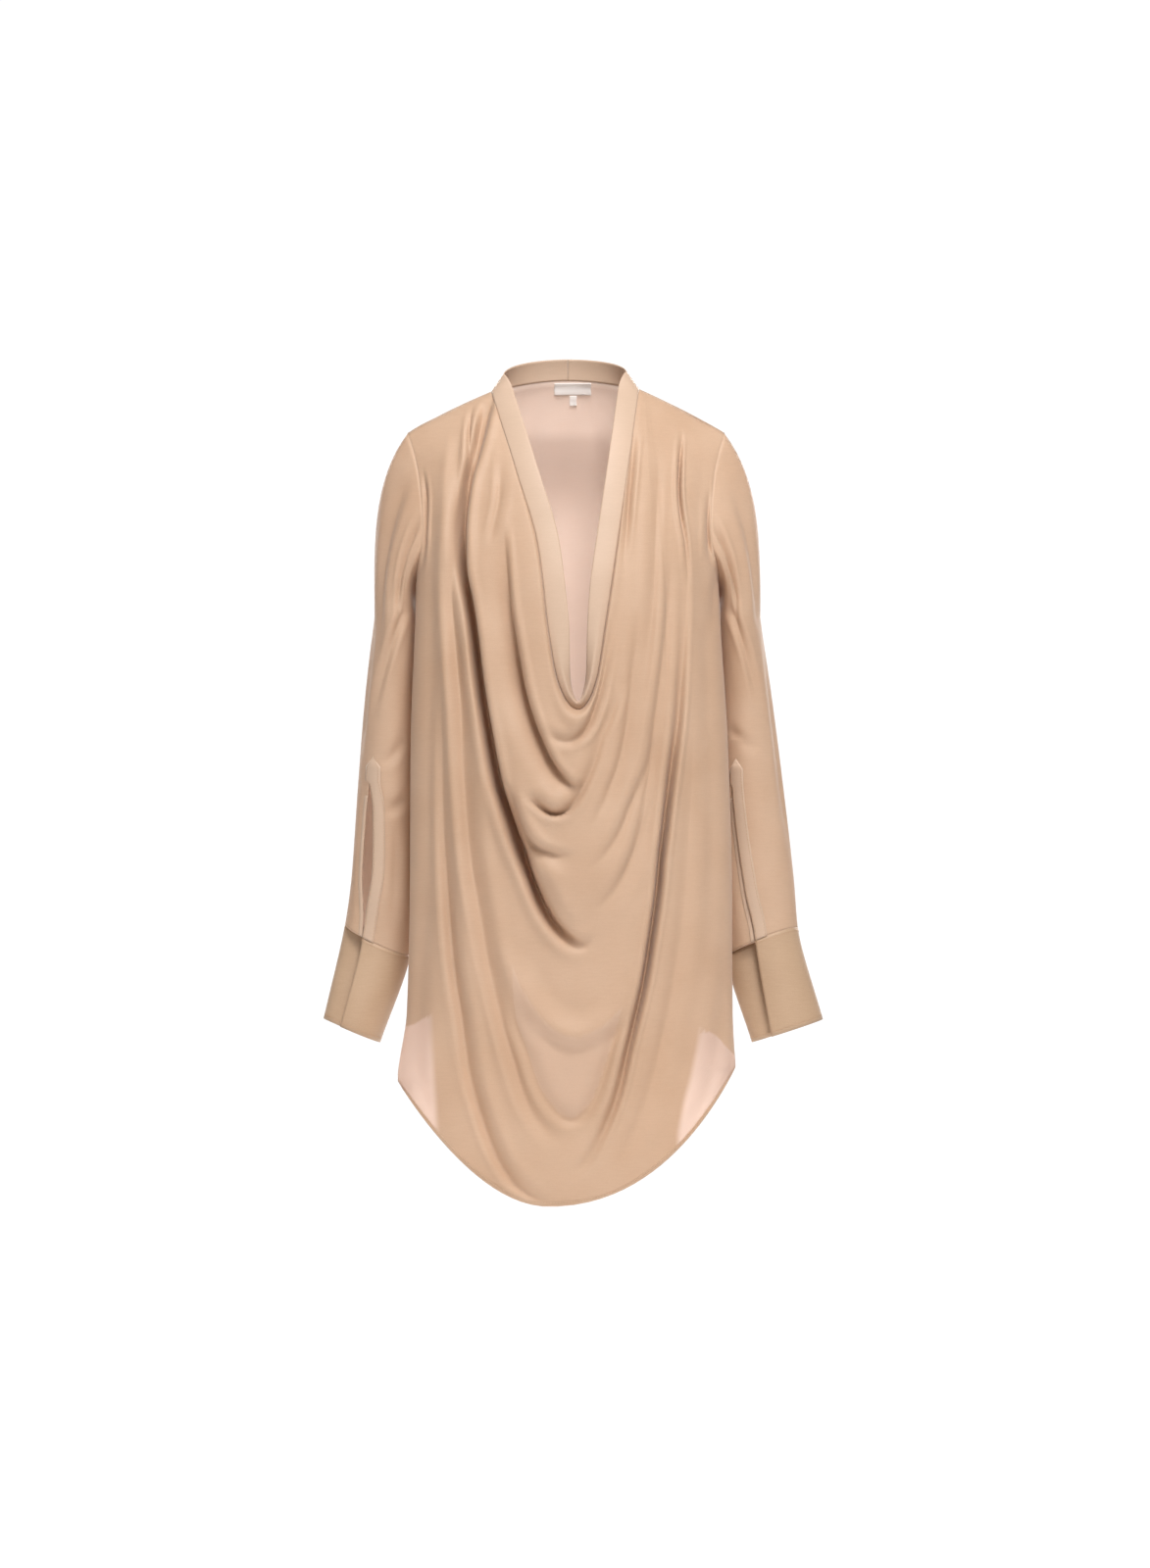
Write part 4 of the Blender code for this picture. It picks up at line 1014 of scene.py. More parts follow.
@dataclass
class Back:
    """The back: yoke-less, hanging straight from the shoulders to a narrower shirt tail."""

    rows: int = 132
    columns: int = 141
    wall: float = 0.5
    tail_share: tuple = (0.0, 0.25, 0.5, 0.68, 0.8, 0.9)
    tail_x: tuple = (0, 62, 116, 147, 153, 158)
    tail_z: tuple = (-895, -885, -856, -806, -752, -703)
    fold_depth: float = 4.0
    crease_gain: float = 1.7
    fold_count: float = 3.5
    fold_top: float = -240.0
    tip_share: float = 0.2
    slack_power: int = 8
    edge_fade: float = 0.05

    def top(self, across: np.ndarray) -> np.ndarray:
        """Angles and heights of the top edge: shoulder, back neck, shoulder.

        Args:
            across: shares of the way from the right to the left.

        Returns:
            Angles from the middle of the back and heights.
        """
        sign = np.where(across > 0.5, 1, -1)
        # The index is 0 at the shoulder tips, 5 at the neck points and 10 in the middle.
        index = 10 - np.abs(across - 0.5) * 20
        tip, neck = FORM.tip(sign, 0), FORM.neck(sign, 0)
        shoulder = tip + (neck - tip) * np.clip(index / 5, 0, 1)
        x = np.where(index <= 5, shoulder, neck * (1 - np.clip((index - 5) / 5, 0, 1)))
        z = FORM.back_top(x)[1]
        return np.stack([sign * np.abs(FORM.angle_at(x, z, FORM.back_power)), z], axis=-1)

    def hem(self, across: np.ndarray) -> np.ndarray:
        """Angles and heights of the hem: vent, shirt tail, vent.

        Args:
            across: shares of the way from the right to the left.

        Returns:
            Angles from the middle of the back and heights.
        """
        sign = np.where(across > 0.5, 1, -1)
        share = np.abs(2 * across - 1)
        last_z = self.tail_z[-1]
        start = np.arcsin((self.tail_x[-1] / FORM.half(sign, last_z)) ** (FORM.back_power / 2))
        end = math.pi - math.radians(SEAMS.side_angles[1])
        part = np.clip((share - self.tail_share[-1]) / (1 - self.tail_share[-1]), 0, 1)
        x = smooth(share, self.tail_share, self.tail_x)
        z = smooth(share, self.tail_share, self.tail_z)
        tail = np.abs(FORM.angle_at(x, z, FORM.back_power))
        angle = np.where(part > 0, start + (end - start) * part, tail)
        return np.stack([sign * angle, z + (SEAMS.vent_z - last_z) * part], axis=-1)

    def sides(self) -> tuple:
        """Angles and heights of the right and left edges, from the shoulder tip to the vent.

        Returns:
            Both edges, as rows of angle and height.
        """
        z = np.linspace(FORM.tip_right[1], SEAMS.vent_z, self.rows)
        below = math.pi - SEAMS.side_angle(z)
        angle = np.where(z >= SEAMS.underarm_z, SEAMS.armhole_angle(z, False), below)
        return np.stack([-angle, z], axis=-1), np.stack([angle, z], axis=-1)

    def grid(self) -> np.ndarray:
        """Points of the finished back, filled in between its four edges.

        Returns:
            Rows of points, from the top down.
        """
        across = np.linspace(0, 1, self.columns)
        top, hem = self.top(across), self.hem(across)
        right, left = self.sides()
        down = ((right[:, 1] - right[0, 1]) / (right[-1, 1] - right[0, 1]))[:, None, None]
        over = across[None, :, None]
        place = (1 - down) * top + down * hem + (1 - over) * right[:, None] + over * left[:, None]
        place = place - (1 - down) * ((1 - over) * top[0] + over * top[-1])
        place = place - down * ((1 - over) * hem[0] + over * hem[-1])
        to_right, to_left = right[0] - top[0], left[0] - top[-1]
        slack = (1 - over) * to_right + over * to_left
        at_right, at_left = (np.clip(1 - away / self.tip_share, 0, 1) ** 2 for away in (over, 1 - over))
        place = place - (1 - down) ** self.slack_power * (slack - at_right * to_right - at_left * to_left)
        grid = FORM.place(place[..., 0], place[..., 1], False)
        reach = np.clip((self.fold_top - place[..., 1]) / -self.fold_top, 0, 1)
        wave = np.cos(2 * math.pi * self.fold_count * (across - 0.5)) * np.sin(math.pi * across) ** 2
        height, shift = crease_field(grid[..., [0, 2]].reshape(-1, 2), BACK_CREASES)
        at_side = step(np.minimum(across, 1 - across) / self.edge_fade)
        fade = np.minimum(step(down[:, 0] / self.edge_fade), at_side)
        height = height.reshape(grid.shape[:2]) * fade * self.crease_gain + self.fold_depth * reach * wave
        made = grid - normals_of(grid) * height[..., None]
        made[..., 0] += shift[:, 0].reshape(grid.shape[:2]) * fade
        return made


@dataclass(frozen=True)
class Arm:
    """One sleeve's sections by station: outer and inner points, middle and half depth, lift and turn."""

    outer_x: tuple
    outer_z: tuple
    inner_x: tuple
    inner_z: tuple
    y: tuple
    half_depth: tuple
    lift: tuple
    turn: tuple
    slit_column: int
    slit_turn: int
    gape_station: tuple
    gape_width: tuple
    tower_beyond: float
    creases: tuple


RIGHT_SLEEVE_CREASES = (
    Crease("armhole_fold", 3.0, 5.0, 0.5, ((84, -90, 0), (88, -125, 5), (92, -165, 7),
           (96, -205, 5), (98, -240, 0))),
    Crease("upper_front", 8.0, 9.0, 0.5, ((34, -70, 0), (38, -110, 4), (42, -160, 5), (46, -220, 3),
           (50, -290, 0))),
    Crease("middle_front", 8.0, 10.0, 0.5, ((20, -240, 0), (18, -300, 3), (14, -360, 3),
           (12, -410, 0))),
    Crease("underarm_drag", 6.0, 7.0, 0.5, ((118, -230, 0), (96, -255, 5), (70, -300, 4),
           (48, -360, 0))),
    Crease("elbow_upper", 6.0, 8.0, 0.5, ((120, -380, 0), (100, -398, 3), (74, -410, 3),
           (50, -408, 0))),
    Crease("elbow_lower", 6.0, 7.0, 0.5, ((126, -450, 0), (104, -462, 4), (80, -468, 3),
           (62, -462, 0))),
    Crease("forearm", 8.0, 8.0, 0.0, ((96, -480, 0), (98, -530, 3), (94, -580, 2), (90, -610, 0))),
    Crease("back_upper", 10.0, 10.0, 0.5, ((218, -120, 0), (222, -200, 5), (216, -300, 5),
           (208, -380, 0))),
    Crease("back_elbow", 7.0, 8.0, 0.5, ((176, -400, 0), (204, -420, 4), (236, -424, 4),
           (262, -410, 0))),
    Crease("back_forearm", 9.0, 9.0, 0.0, ((226, -440, 0), (230, -500, 4), (224, -570, 3),
           (222, -620, 0))),
    Crease("outer_long", 9.0, 9.0, 0.0, ((278, -150, 0), (276, -260, 3), (280, -380, 3),
           (276, -500, 0))),
)
LEFT_SLEEVE_CREASES = (
    Crease("armhole_fold", 3.0, 5.0, 0.5, ((88, -95, 0), (92, -130, 6), (96, -170, 8),
           (98, -210, 5), (98, -245, 0))),
    Crease("upper_front", 8.0, 9.0, 0.5, ((28, -80, 0), (34, -130, 3), (36, -190, 4), (32, -260, 0))),
    Crease("outer_front", 9.0, 9.0, 0.0, ((12, -250, 0), (14, -330, 3), (10, -430, 3), (12, -530, 0))),
    Crease("underarm_drag", 6.0, 7.0, 0.5, ((120, -225, 0), (98, -250, 5), (74, -290, 4),
           (56, -350, 0))),
    Crease("elbow_upper", 7.0, 7.0, 0.5, ((122, -370, 0), (100, -384, 3), (76, -392, 2),
           (56, -388, 0))),
    Crease("back_upper", 10.0, 9.0, 0.5, ((214, -130, 0), (220, -210, 5), (224, -310, 5),
           (216, -390, 0))),
    Crease("back_elbow", 7.0, 8.0, 0.5, ((180, -410, 0), (208, -428, 4), (238, -430, 4),
           (264, -414, 0))),
    Crease("back_forearm", 9.0, 9.0, 0.0, ((220, -450, 0), (226, -510, 4), (228, -580, 3),
           (222, -630, 0))),
    Crease("outer_long", 9.0, 9.0, 0.0, ((280, -170, 0), (276, -280, 3), (278, -400, 3),
           (274, -520, 0))),
)

ARMS = {
    Side.RIGHT: Arm(
        outer_x=(-228, -239, -247.5, -256, -263, -288), outer_z=(-240, -330, -434, -552, -603, -714),
        inner_x=(-176, -176, -176, -175, -186, -222), inner_z=(-244, -334, -440, -562, -638, -742),
        y=(18, 24, 27, 28, 26, 18), half_depth=(56, 52, 47, 42, 35, 40), lift=(0, 0, 0, -3, -6, 0),
        turn=(0, 3, 9, 10, 17, 21), slit_column=2, slit_turn=1,
        gape_station=(2.0, 2.25, 2.75, 3.25, 3.6, 4.0), gape_width=(0, 14, 19, 10, 5, 2),
        tower_beyond=8.0, creases=RIGHT_SLEEVE_CREASES,
    ),
    Side.LEFT: Arm(
        outer_x=(227, 240.5, 254, 267.5, 272, 301), outer_z=(-240, -330, -434, -552, -608, -715),
        inner_x=(176, 177, 177, 182, 188, 218), inner_z=(-244, -334, -440, -562, -641, -742),
        y=(18, 24, 27, 28, 26, 18), half_depth=(56, 52, 47, 40, 34, 33), lift=(0, 0, 0, 4, 7, 0),
        turn=(0, 6, 12, 2, -9, 6), slit_column=5, slit_turn=-1,
        gape_station=(2.0, 2.25, 4.0), gape_width=(0, 1.2, 1.2),
        tower_beyond=3.0, creases=LEFT_SLEEVE_CREASES,
    ),
}


# Turns round a sleeve in the crease tables are degrees, each drawn as this many millimetres.
MM_PER_DEGREE = 0.8
DEGREES_IN_SIXTEENTH = 22.5


@dataclass
class Sleeve:
    """A set-in sleeve with its slit, placket, binding and open cuff."""

    side: Side
    wall: float = 0.5
    cuff_wall: float = 1.1
    columns: int = 97
    cap_rows: int = 34
    body_rows: int = 110
    cuff_rows: int = 22
    clearance: float = 4.0
    cap_outward: float = 0.62
    slit_station: float = 2.0
    cuff_station: float = 4.0
    inset: float = 2.6
    cuff_inset: float = 16.0
    underlap: float = 1.1
    tower_rise: float = 22.0
    tower_point: float = 13.0
    placket_width: float = 15.0
    placket_lanes: int = 9
    placket_puff: float = 0.35
    before_slit: int = 13
    after_slit: int = 20
    binding_width: float = 5.0
    binding_over: tuple = (1.0, 0.9, 0.5, 0.15, -0.06, 0.15, 0.5, 0.9, 1.0)
    binding_out: tuple = (0.5, 0.9, 1.0, 0.9, 0.0, -0.9, -1.0, -0.9, -0.5)
    lay: float = 0.75
    inset_ease: float = 0.2
    inset_columns: int = 6
    sunk_columns: int = 18
    under_columns: int = 8
    top_fade: int = 8
    foot_fade: int = 10
    slit_fade: int = 14
    slit_fade_from: int = 40

    @property
    def arm(self) -> Arm:
        """The sleeve's own table."""
        return ARMS[self.side]

    @property
    def slit_row(self) -> float:
        """Where the slit starts, counted in rows of the sleeve."""
        return self.cap_rows + (self.body_rows - 1) * self.slit_station / self.cuff_station

    def size(self, station, name: str) -> np.ndarray:
        """A named size at stations down the sleeve."""
        return smooth(station, np.arange(6), getattr(self.arm, name))

    def place(self, station, turn_place, clear: bool = True) -> np.ndarray:
        """Points of the sleeve's surface.

        Args:
            station: stations down the sleeve, 4 at the cuff seam and 5 at the cuff's edge.
            turn_place: places round it in sixteenths, from the outer side by the front.
            clear: keeps it clear of the body.

        Returns:
            The points.
        """
        station, sixteenths = np.broadcast_arrays(np.asarray(station, float), np.asarray(turn_place, float))
        turn = 2 * math.pi * sixteenths / 16 + np.radians(self.size(station, "turn"))
        outer = np.stack([self.size(station, n) for n in ("outer_x", "y", "outer_z")], axis=-1)
        inner = np.stack([self.size(station, n) for n in ("inner_x", "y", "inner_z")], axis=-1)
        point = (outer + inner) / 2 + (outer - inner) / 2 * np.cos(turn)[..., None]
        point[..., 1] -= self.size(station, "half_depth") * np.sin(turn)
        point[..., 2] += self.size(station, "lift") * np.sin(turn)
        if clear:
            least = FORM.reach(self.side.value, point[..., 1], point[..., 2]) + self.clearance
            point[..., 0] = self.side.value * np.maximum(self.side.value * point[..., 0], least)
        return point

    def slit_inset(self, station) -> np.ndarray:
        """Half the gape of the slit, in sixteenths of the girth.

        Args:
            station: stations down the sleeve.

        Returns:
            Half gapes.
        """
        arm = self.arm
        gape = smooth(np.minimum(station, self.cuff_station), arm.gape_station, arm.gape_width)
        half = np.abs(self.size(station, "outer_x") - self.size(station, "inner_x")) / 2
        girth = 2 * math.pi * np.sqrt((half ** 2 + self.size(station, "half_depth") ** 2) / 2)
        return gape / 2 / (girth / 16)

    def turn_places(self, station) -> np.ndarray:
        """Places of the columns at each station, from the slit's over edge round to its under edge.

        Args:
            station: stations down the sleeve.

        Returns:
            Places in sixteenths, a row for each station.
        """
        station = np.atleast_1d(station)
        inset = self.slit_inset(station)[:, None]
        share = np.linspace(0, 1, self.columns)
        return self.arm.slit_column + self.arm.slit_turn * (inset + (16 - 2 * inset) * share)

    def middle(self, z: float) -> tuple:
        """x and y of the sleeve's middle at a height.

        Args:
            z: the height.

        Returns:
            The two places.
        """
        arm = self.arm
        heights = [(a + b) / 2 for a, b in zip(arm.outer_z, arm.inner_z)][::-1]
        across = [(a + b) / 2 for a, b in zip(arm.outer_x, arm.inner_x)][::-1]
        return float(np.interp(z, heights, across)), float(np.interp(z, heights, arm.y[::-1]))

    def smooth_grid(self) -> tuple:
        """The sleeve before its folds, and the turn of each point in degrees.

        Returns:
            The grid and the turns.
        """
        share = np.linspace(0, 1, self.columns)
        ring_places = self.arm.slit_column + self.arm.slit_turn * 16 * share
        ring = SEAMS.armhole(FORM, self.side, ring_places)
        first = self.place(0.0, self.turn_places(0.0)[0])
        u = np.linspace(0, 1, self.cap_rows + 1)[:-1, None, None]
        sunk = math.sqrt(1 - self.cap_outward ** 2)
        outward = np.array((self.side.value * self.cap_outward, 0.0, -sunk))
        reach = np.linalg.norm(first - ring, axis=1)[None, :, None]
        cap = (1 + 2 * u) * (1 - u) ** 2 * ring + u * u * (3 - 2 * u) * first
        downward = np.array((0.0, 0.0, -1.0))
        cap = cap + u * (1 - u) ** 2 * reach * outward + u * u * (u - 1) * reach * downward
        least = FORM.reach(self.side.value, cap[..., 1], cap[..., 2]) + self.clearance * u[..., 0]
        pushed = self.side.value * np.maximum(self.side.value * cap[..., 0], least)
        cap[..., 0] = np.where(cap[..., 2] < SEAMS.underarm_z, pushed, cap[..., 0])
        stations = np.linspace(0, self.cuff_station, self.body_rows)
        places = self.turn_places(stations)
        body = self.place(stations[:, None], places)
        opened = stations > self.slit_station
        centre = body.mean(axis=1)
        deep = self.inset * step((stations - self.slit_station) / self.inset_ease)
        for back in range(1, self.inset_columns + 1):
            share_here = step((self.inset_columns + 1 - back) / self.inset_columns)
            sunk = unit(centre - body[:, -back]) * (deep * share_here)[:, None]
            body[:, -back] += np.where(opened[:, None], sunk, 0.0)
        turns = np.concatenate([np.tile(ring_places, (self.cap_rows, 1)), places]) * DEGREES_IN_SIXTEENTH
        return np.concatenate([cap, body]), np.mod(turns, 360)

    def grid(self) -> np.ndarray:
        """Points of the finished sleeve.

        Returns:
            Rows of points, closed above the slit.
        """
        grid, turns = self.smooth_grid()
        plane = np.stack([turns * MM_PER_DEGREE, grid[..., 2]], axis=-1).reshape(-1, 2)
        height, _ = crease_field(plane, [self.scaled(crease) for crease in self.arm.creases])
        rows, columns = grid.shape[:2]
        row, column = np.arange(rows)[:, None], np.arange(columns)[None, :]
        slit = step(np.minimum(column, columns - 1 - column) / self.slit_fade)
        fade = step(row / self.top_fade) * step((rows - 1 - row) / self.foot_fade)
        fade = fade * np.where(row > self.cap_rows + self.slit_fade_from, slit, 1.0)
        made = grid + outwards(grid) * (height.reshape(rows, columns) * fade)[..., None]
        join = (made[:, :1] + made[:, -1:]) / 2
        for end in (0, -1):
            made[:, end] = np.where(row <= self.slit_row, join[:, 0], made[:, end])
        return made

    @staticmethod
    def scaled(crease: Crease) -> Crease:
        """A crease with its degrees turned to millimetres round the sleeve."""
        points = tuple((turn * MM_PER_DEGREE, z, depth) for turn, z, depth in crease.points)
        return replace(crease, points=points)

    def cuff_grid(self) -> np.ndarray:
        """Points of the cuff; its under end goes on beneath the over end.

        Returns:
            Rows of points.
        """
        stations = np.linspace(self.cuff_station, self.cuff_station + 1, self.cuff_rows)
        places = self.turn_places(stations)
        share = np.linspace(0, 1, self.under_columns + 1)[1:]
        more = places[:, -1:] + self.arm.slit_turn * self.underlap * share
        grid = self.place(stations[:, None], np.concatenate([places, more], axis=1), False)
        centre = grid[:, :self.columns].mean(axis=1, keepdims=True)
        column = np.arange(grid.shape[1])
        deep = self.cuff_inset * step((column - self.columns + self.sunk_columns) / self.sunk_columns)
        return grid + unit(centre - grid) * deep[None, :, None]

    def strip(self, sleeve: np.ndarray) -> tuple:
        """The placket with its pointed top, lying on the slit's over edge.

        Args:
            sleeve: the finished sleeve.

        Returns:
            Its points, its faces, its lanes of points row by row, and the point of its top.
        """
        slit_row, out, lanes = int(self.slit_row) + 1, outwards(sleeve), self.placket_lanes
        down = np.abs(sleeve[:slit_row, 0, 2] - sleeve[slit_row, 0, 2])
        tower_row = int(np.argmin(np.abs(down - self.tower_rise)))
        rows = np.arange(tower_row, len(sleeve))
        puff = self.lay + self.placket_puff * np.sin(math.pi * np.linspace(0, 1, lanes))
        points = np.zeros((len(rows), lanes, 3))
        for n, r in enumerate(rows):
            ring, over = sleeve[r, :self.after_slit], out[r, :self.after_slit]
            start, beyond = 0, 0.0
            if r < slit_row:
                start, beyond = self.before_slit, self.arm.tower_beyond
                ring = np.concatenate([sleeve[r, -1 - start:-1], ring])
                over = np.concatenate([out[r, -1 - start:-1], over])
            along = lengths_along(ring)
            want = along[start] + np.linspace(-beyond, self.placket_width, lanes)
            place = np.stack([np.interp(want, along, ring[:, i]) for i in range(3)], axis=-1)
            normal = np.stack([np.interp(want, along, over[:, i]) for i in range(3)], axis=-1)
            points[n] = place + unit(normal) * puff[:, None]
        top = points[0].mean(axis=0) + unit((points[0] - points[1]).mean(axis=0)) * self.tower_point
        count = len(rows) * lanes
        faces = grid_faces(len(rows), lanes) + [(i + 1, i, count) for i in range(lanes - 1)]
        return np.concatenate([points.reshape(-1, 3), top[None]]), faces, points, top

    def binding(self, sleeve: np.ndarray) -> np.ndarray:
        """Points of the narrow binding folded round the slit's under edge.

        Args:
            sleeve: the finished sleeve.

        Returns:
            Rows of points across the binding.
        """
        slit_row = int(self.slit_row) + 4
        edge, inner = sleeve[slit_row:, -1], sleeve[slit_row:, -4]
        over = unit(inner - edge)
        lanes = self.binding_width * np.array(self.binding_over)
        lay = self.lay * np.array(self.binding_out)
        raised = outwards(sleeve)[slit_row:, -1:] * lay[None, :, None]
        return edge[:, None] + over[:, None] * lanes[None, :, None] + raised


@dataclass
class Band:
    """The neckband: one strip round the V and the back neck, its ends meeting at the centre back."""

    width: float = 25.5
    lanes: int = 13
    wall: float = 1.0
    bow: float = 1.0
    back_lean_x: float = 0.72
    back_lean_y: float = -0.10
    turn_from: tuple = (0.72, 0.60)
    turn_power: float = 1.4
    upright: float = 0.34
    forward: float = 0.5
    back_points: int = 60
    small_turn: float = 0.01
    small_rise: float = 0.5
    blur_reach: float = 30.0
    blur_width: float = 12.0
    rolled_way: tuple = (0.0, 1.0, 0.05)

    def loop(self, front: np.ndarray, places: np.ndarray) -> tuple:
        """The neck seam from the centre back round to it.

        Args:
            front: points of the front, whose first row is the seam of the V.
            places: places of the front's columns.

        Returns:
            Points of the seam, directions across the band, and how far the band is turned in at each.
        """
        turn = np.linspace(0, math.pi / 2, self.back_points)
        halves = []
        for side in Side:
            x = FORM.neck(side.value, 0) * np.sin(turn)
            y, z = FORM.back_top(x)
            share = x / np.abs(FORM.neck(side.value, 0))
            lean_y = self.back_lean_y * (1 - np.abs(share))
            lean = unit(np.stack([-self.back_lean_x * share, lean_y, 1 + 0 * x], axis=-1))
            halves.append((np.stack([x, y, z], axis=-1), lean))
        line = front[0]
        angle = FORM.angle_at(line[:, 0], line[:, 2], FORM.front_power)
        z, turn, rise = line[:, 2], self.small_turn, self.small_rise
        around = FORM.place(angle + turn, z, True) - FORM.place(angle - turn, z, True)
        upward = FORM.place(angle, z + rise, True) - FORM.place(angle, z - rise, True)
        facing = unit(np.cross(around, upward))
        inwards = unit(np.cross(facing, unit(np.gradient(line, axis=0))))
        start = np.where(places < 0, *self.turn_from)
        turned = np.clip((1 - places ** 2 - start) / (1 - start), 0, 1) ** self.turn_power
        inwards = unit(inwards + turned[:, None] * np.array((0.0, -self.forward, 0.0)))
        flat = np.zeros(self.back_points - 1)
        turned = np.concatenate([flat, turned, flat])
        seam = np.concatenate([halves[0][0][:-1], line, halves[1][0][-2::-1]])
        across = np.concatenate([halves[0][1][:-1], inwards, halves[1][1][-2::-1]])
        along = lengths_along(seam)
        blurred = across.copy()
        for joint in (self.back_points - 1, len(seam) - self.back_points):
            gap = np.abs(along - along[joint])
            for i in np.nonzero(gap < self.blur_reach)[0]:
                weight = bell(along - along[i], self.blur_width)
                mean = unit((across * weight[:, None]).sum(axis=0))
                share = step(gap[i] / self.blur_reach)
                blurred[i] = unit(mean * (1 - share) + across[i] * share)
        direction = unit(np.gradient(seam, axis=0))
        blurred = unit(blurred - direction * np.sum(blurred * direction, axis=1, keepdims=True))
        return seam, blurred, turned

    def grid(self, front: np.ndarray, places: np.ndarray) -> np.ndarray:
        """Points of the band.

        Args:
            front: points of the front.
            places: places of the front's columns.

        Returns:
            Lanes of points, from the seam to the free edge.
        """
        seam, across, turned = self.loop(front, places)
        out = unit(np.cross(unit(np.gradient(seam, axis=0)), across))
        share = np.linspace(0, 1, self.lanes)[:, None, None]
        turned = turned[None, :, None]
        upward = share * (1 - turned) + np.minimum(share, self.upright) * turned
        rolled = np.maximum(share - self.upright, 0) * turned * np.array(self.rolled_way)
        return seam + (across * upward + rolled) * self.width + out * self.bow * 4 * share * (1 - share)


@dataclass(frozen=True)
class Label:
    """A blank woven label inside the back neck: its four edges and its curl off the cloth."""

    name: str
    left: float
    right: float
    top: float
    bottom: float
    curl: float
    lift: float = 1.8
    wall: float = 0.5
    columns: int = 33
    rows: int = 13
    blur: int = 3
    behind_rows: int = 30
    level_row: int = 2
    side_waver: float = 0.25
    foot_waver: float = 0.4

    def grid(self, back: np.ndarray) -> np.ndarray:
        """Points of the label in front of the back's inner side, its sides wavering and its foot curled.

        Args:
            back: the back, whose first rows lie behind the label.

        Returns:
            The points.
        """
        x = np.linspace(self.left, self.right, self.columns)
        z = np.linspace(self.top, self.bottom, self.rows)
        column = np.argmin(np.abs(back[self.level_row, :, 0][:, None] - x), axis=0)
        grid = np.zeros((len(z), len(x), 3))
        for c, near in enumerate(column):
            line = back[:self.behind_rows, near]
            grid[:, c, 1] = np.interp(-z, -line[:, 2], line[:, 1])
        wide = 2 * self.blur + 1
        kernel = np.ones(wide) / wide
        for r in range(len(z)):
            padded = np.pad(grid[r, :, 1], self.blur, mode="edge")
            grid[r, :, 1] = np.convolve(padded, kernel, mode="valid")
        across = (x - self.left) / (self.right - self.left)
        down = (z - self.top) / (self.bottom - self.top)
        grid[..., 0] = x + self.side_waver * np.sin(9 * down)[:, None]
        lift = self.lift + self.curl * down[:, None] ** 2 * (0.6 + 0.4 * np.cos(2.2 * math.pi * across))
        grid[..., 1] -= lift
        grid[..., 2] = z[:, None] + self.foot_waver * np.sin(math.pi * across) * self.curl
        return grid


@dataclass(frozen=True)
class Hem:
    """Narrow rolled hem: how far in it reaches and how it stands off the cloth."""

    width: float = 5.5
    profile: tuple = (0.1, 0.75, 0.95, 0.85, 0.75, 0.2)

    def grid(self, edge: np.ndarray, inside: np.ndarray, out: np.ndarray) -> np.ndarray:
        """Points of a hem from its edge inwards.

        Args:
            edge: points of the cloth's edge.
            inside: points a little inside it.
            out: normals out of the cloth there.

        Returns:
            Lanes of points along the hem.
        """
        inward = unit(inside - edge)
        lanes = np.linspace(0.0, self.width, len(self.profile))
        return np.stack([edge + inward * d + out * h for d, h in zip(lanes, self.profile)])


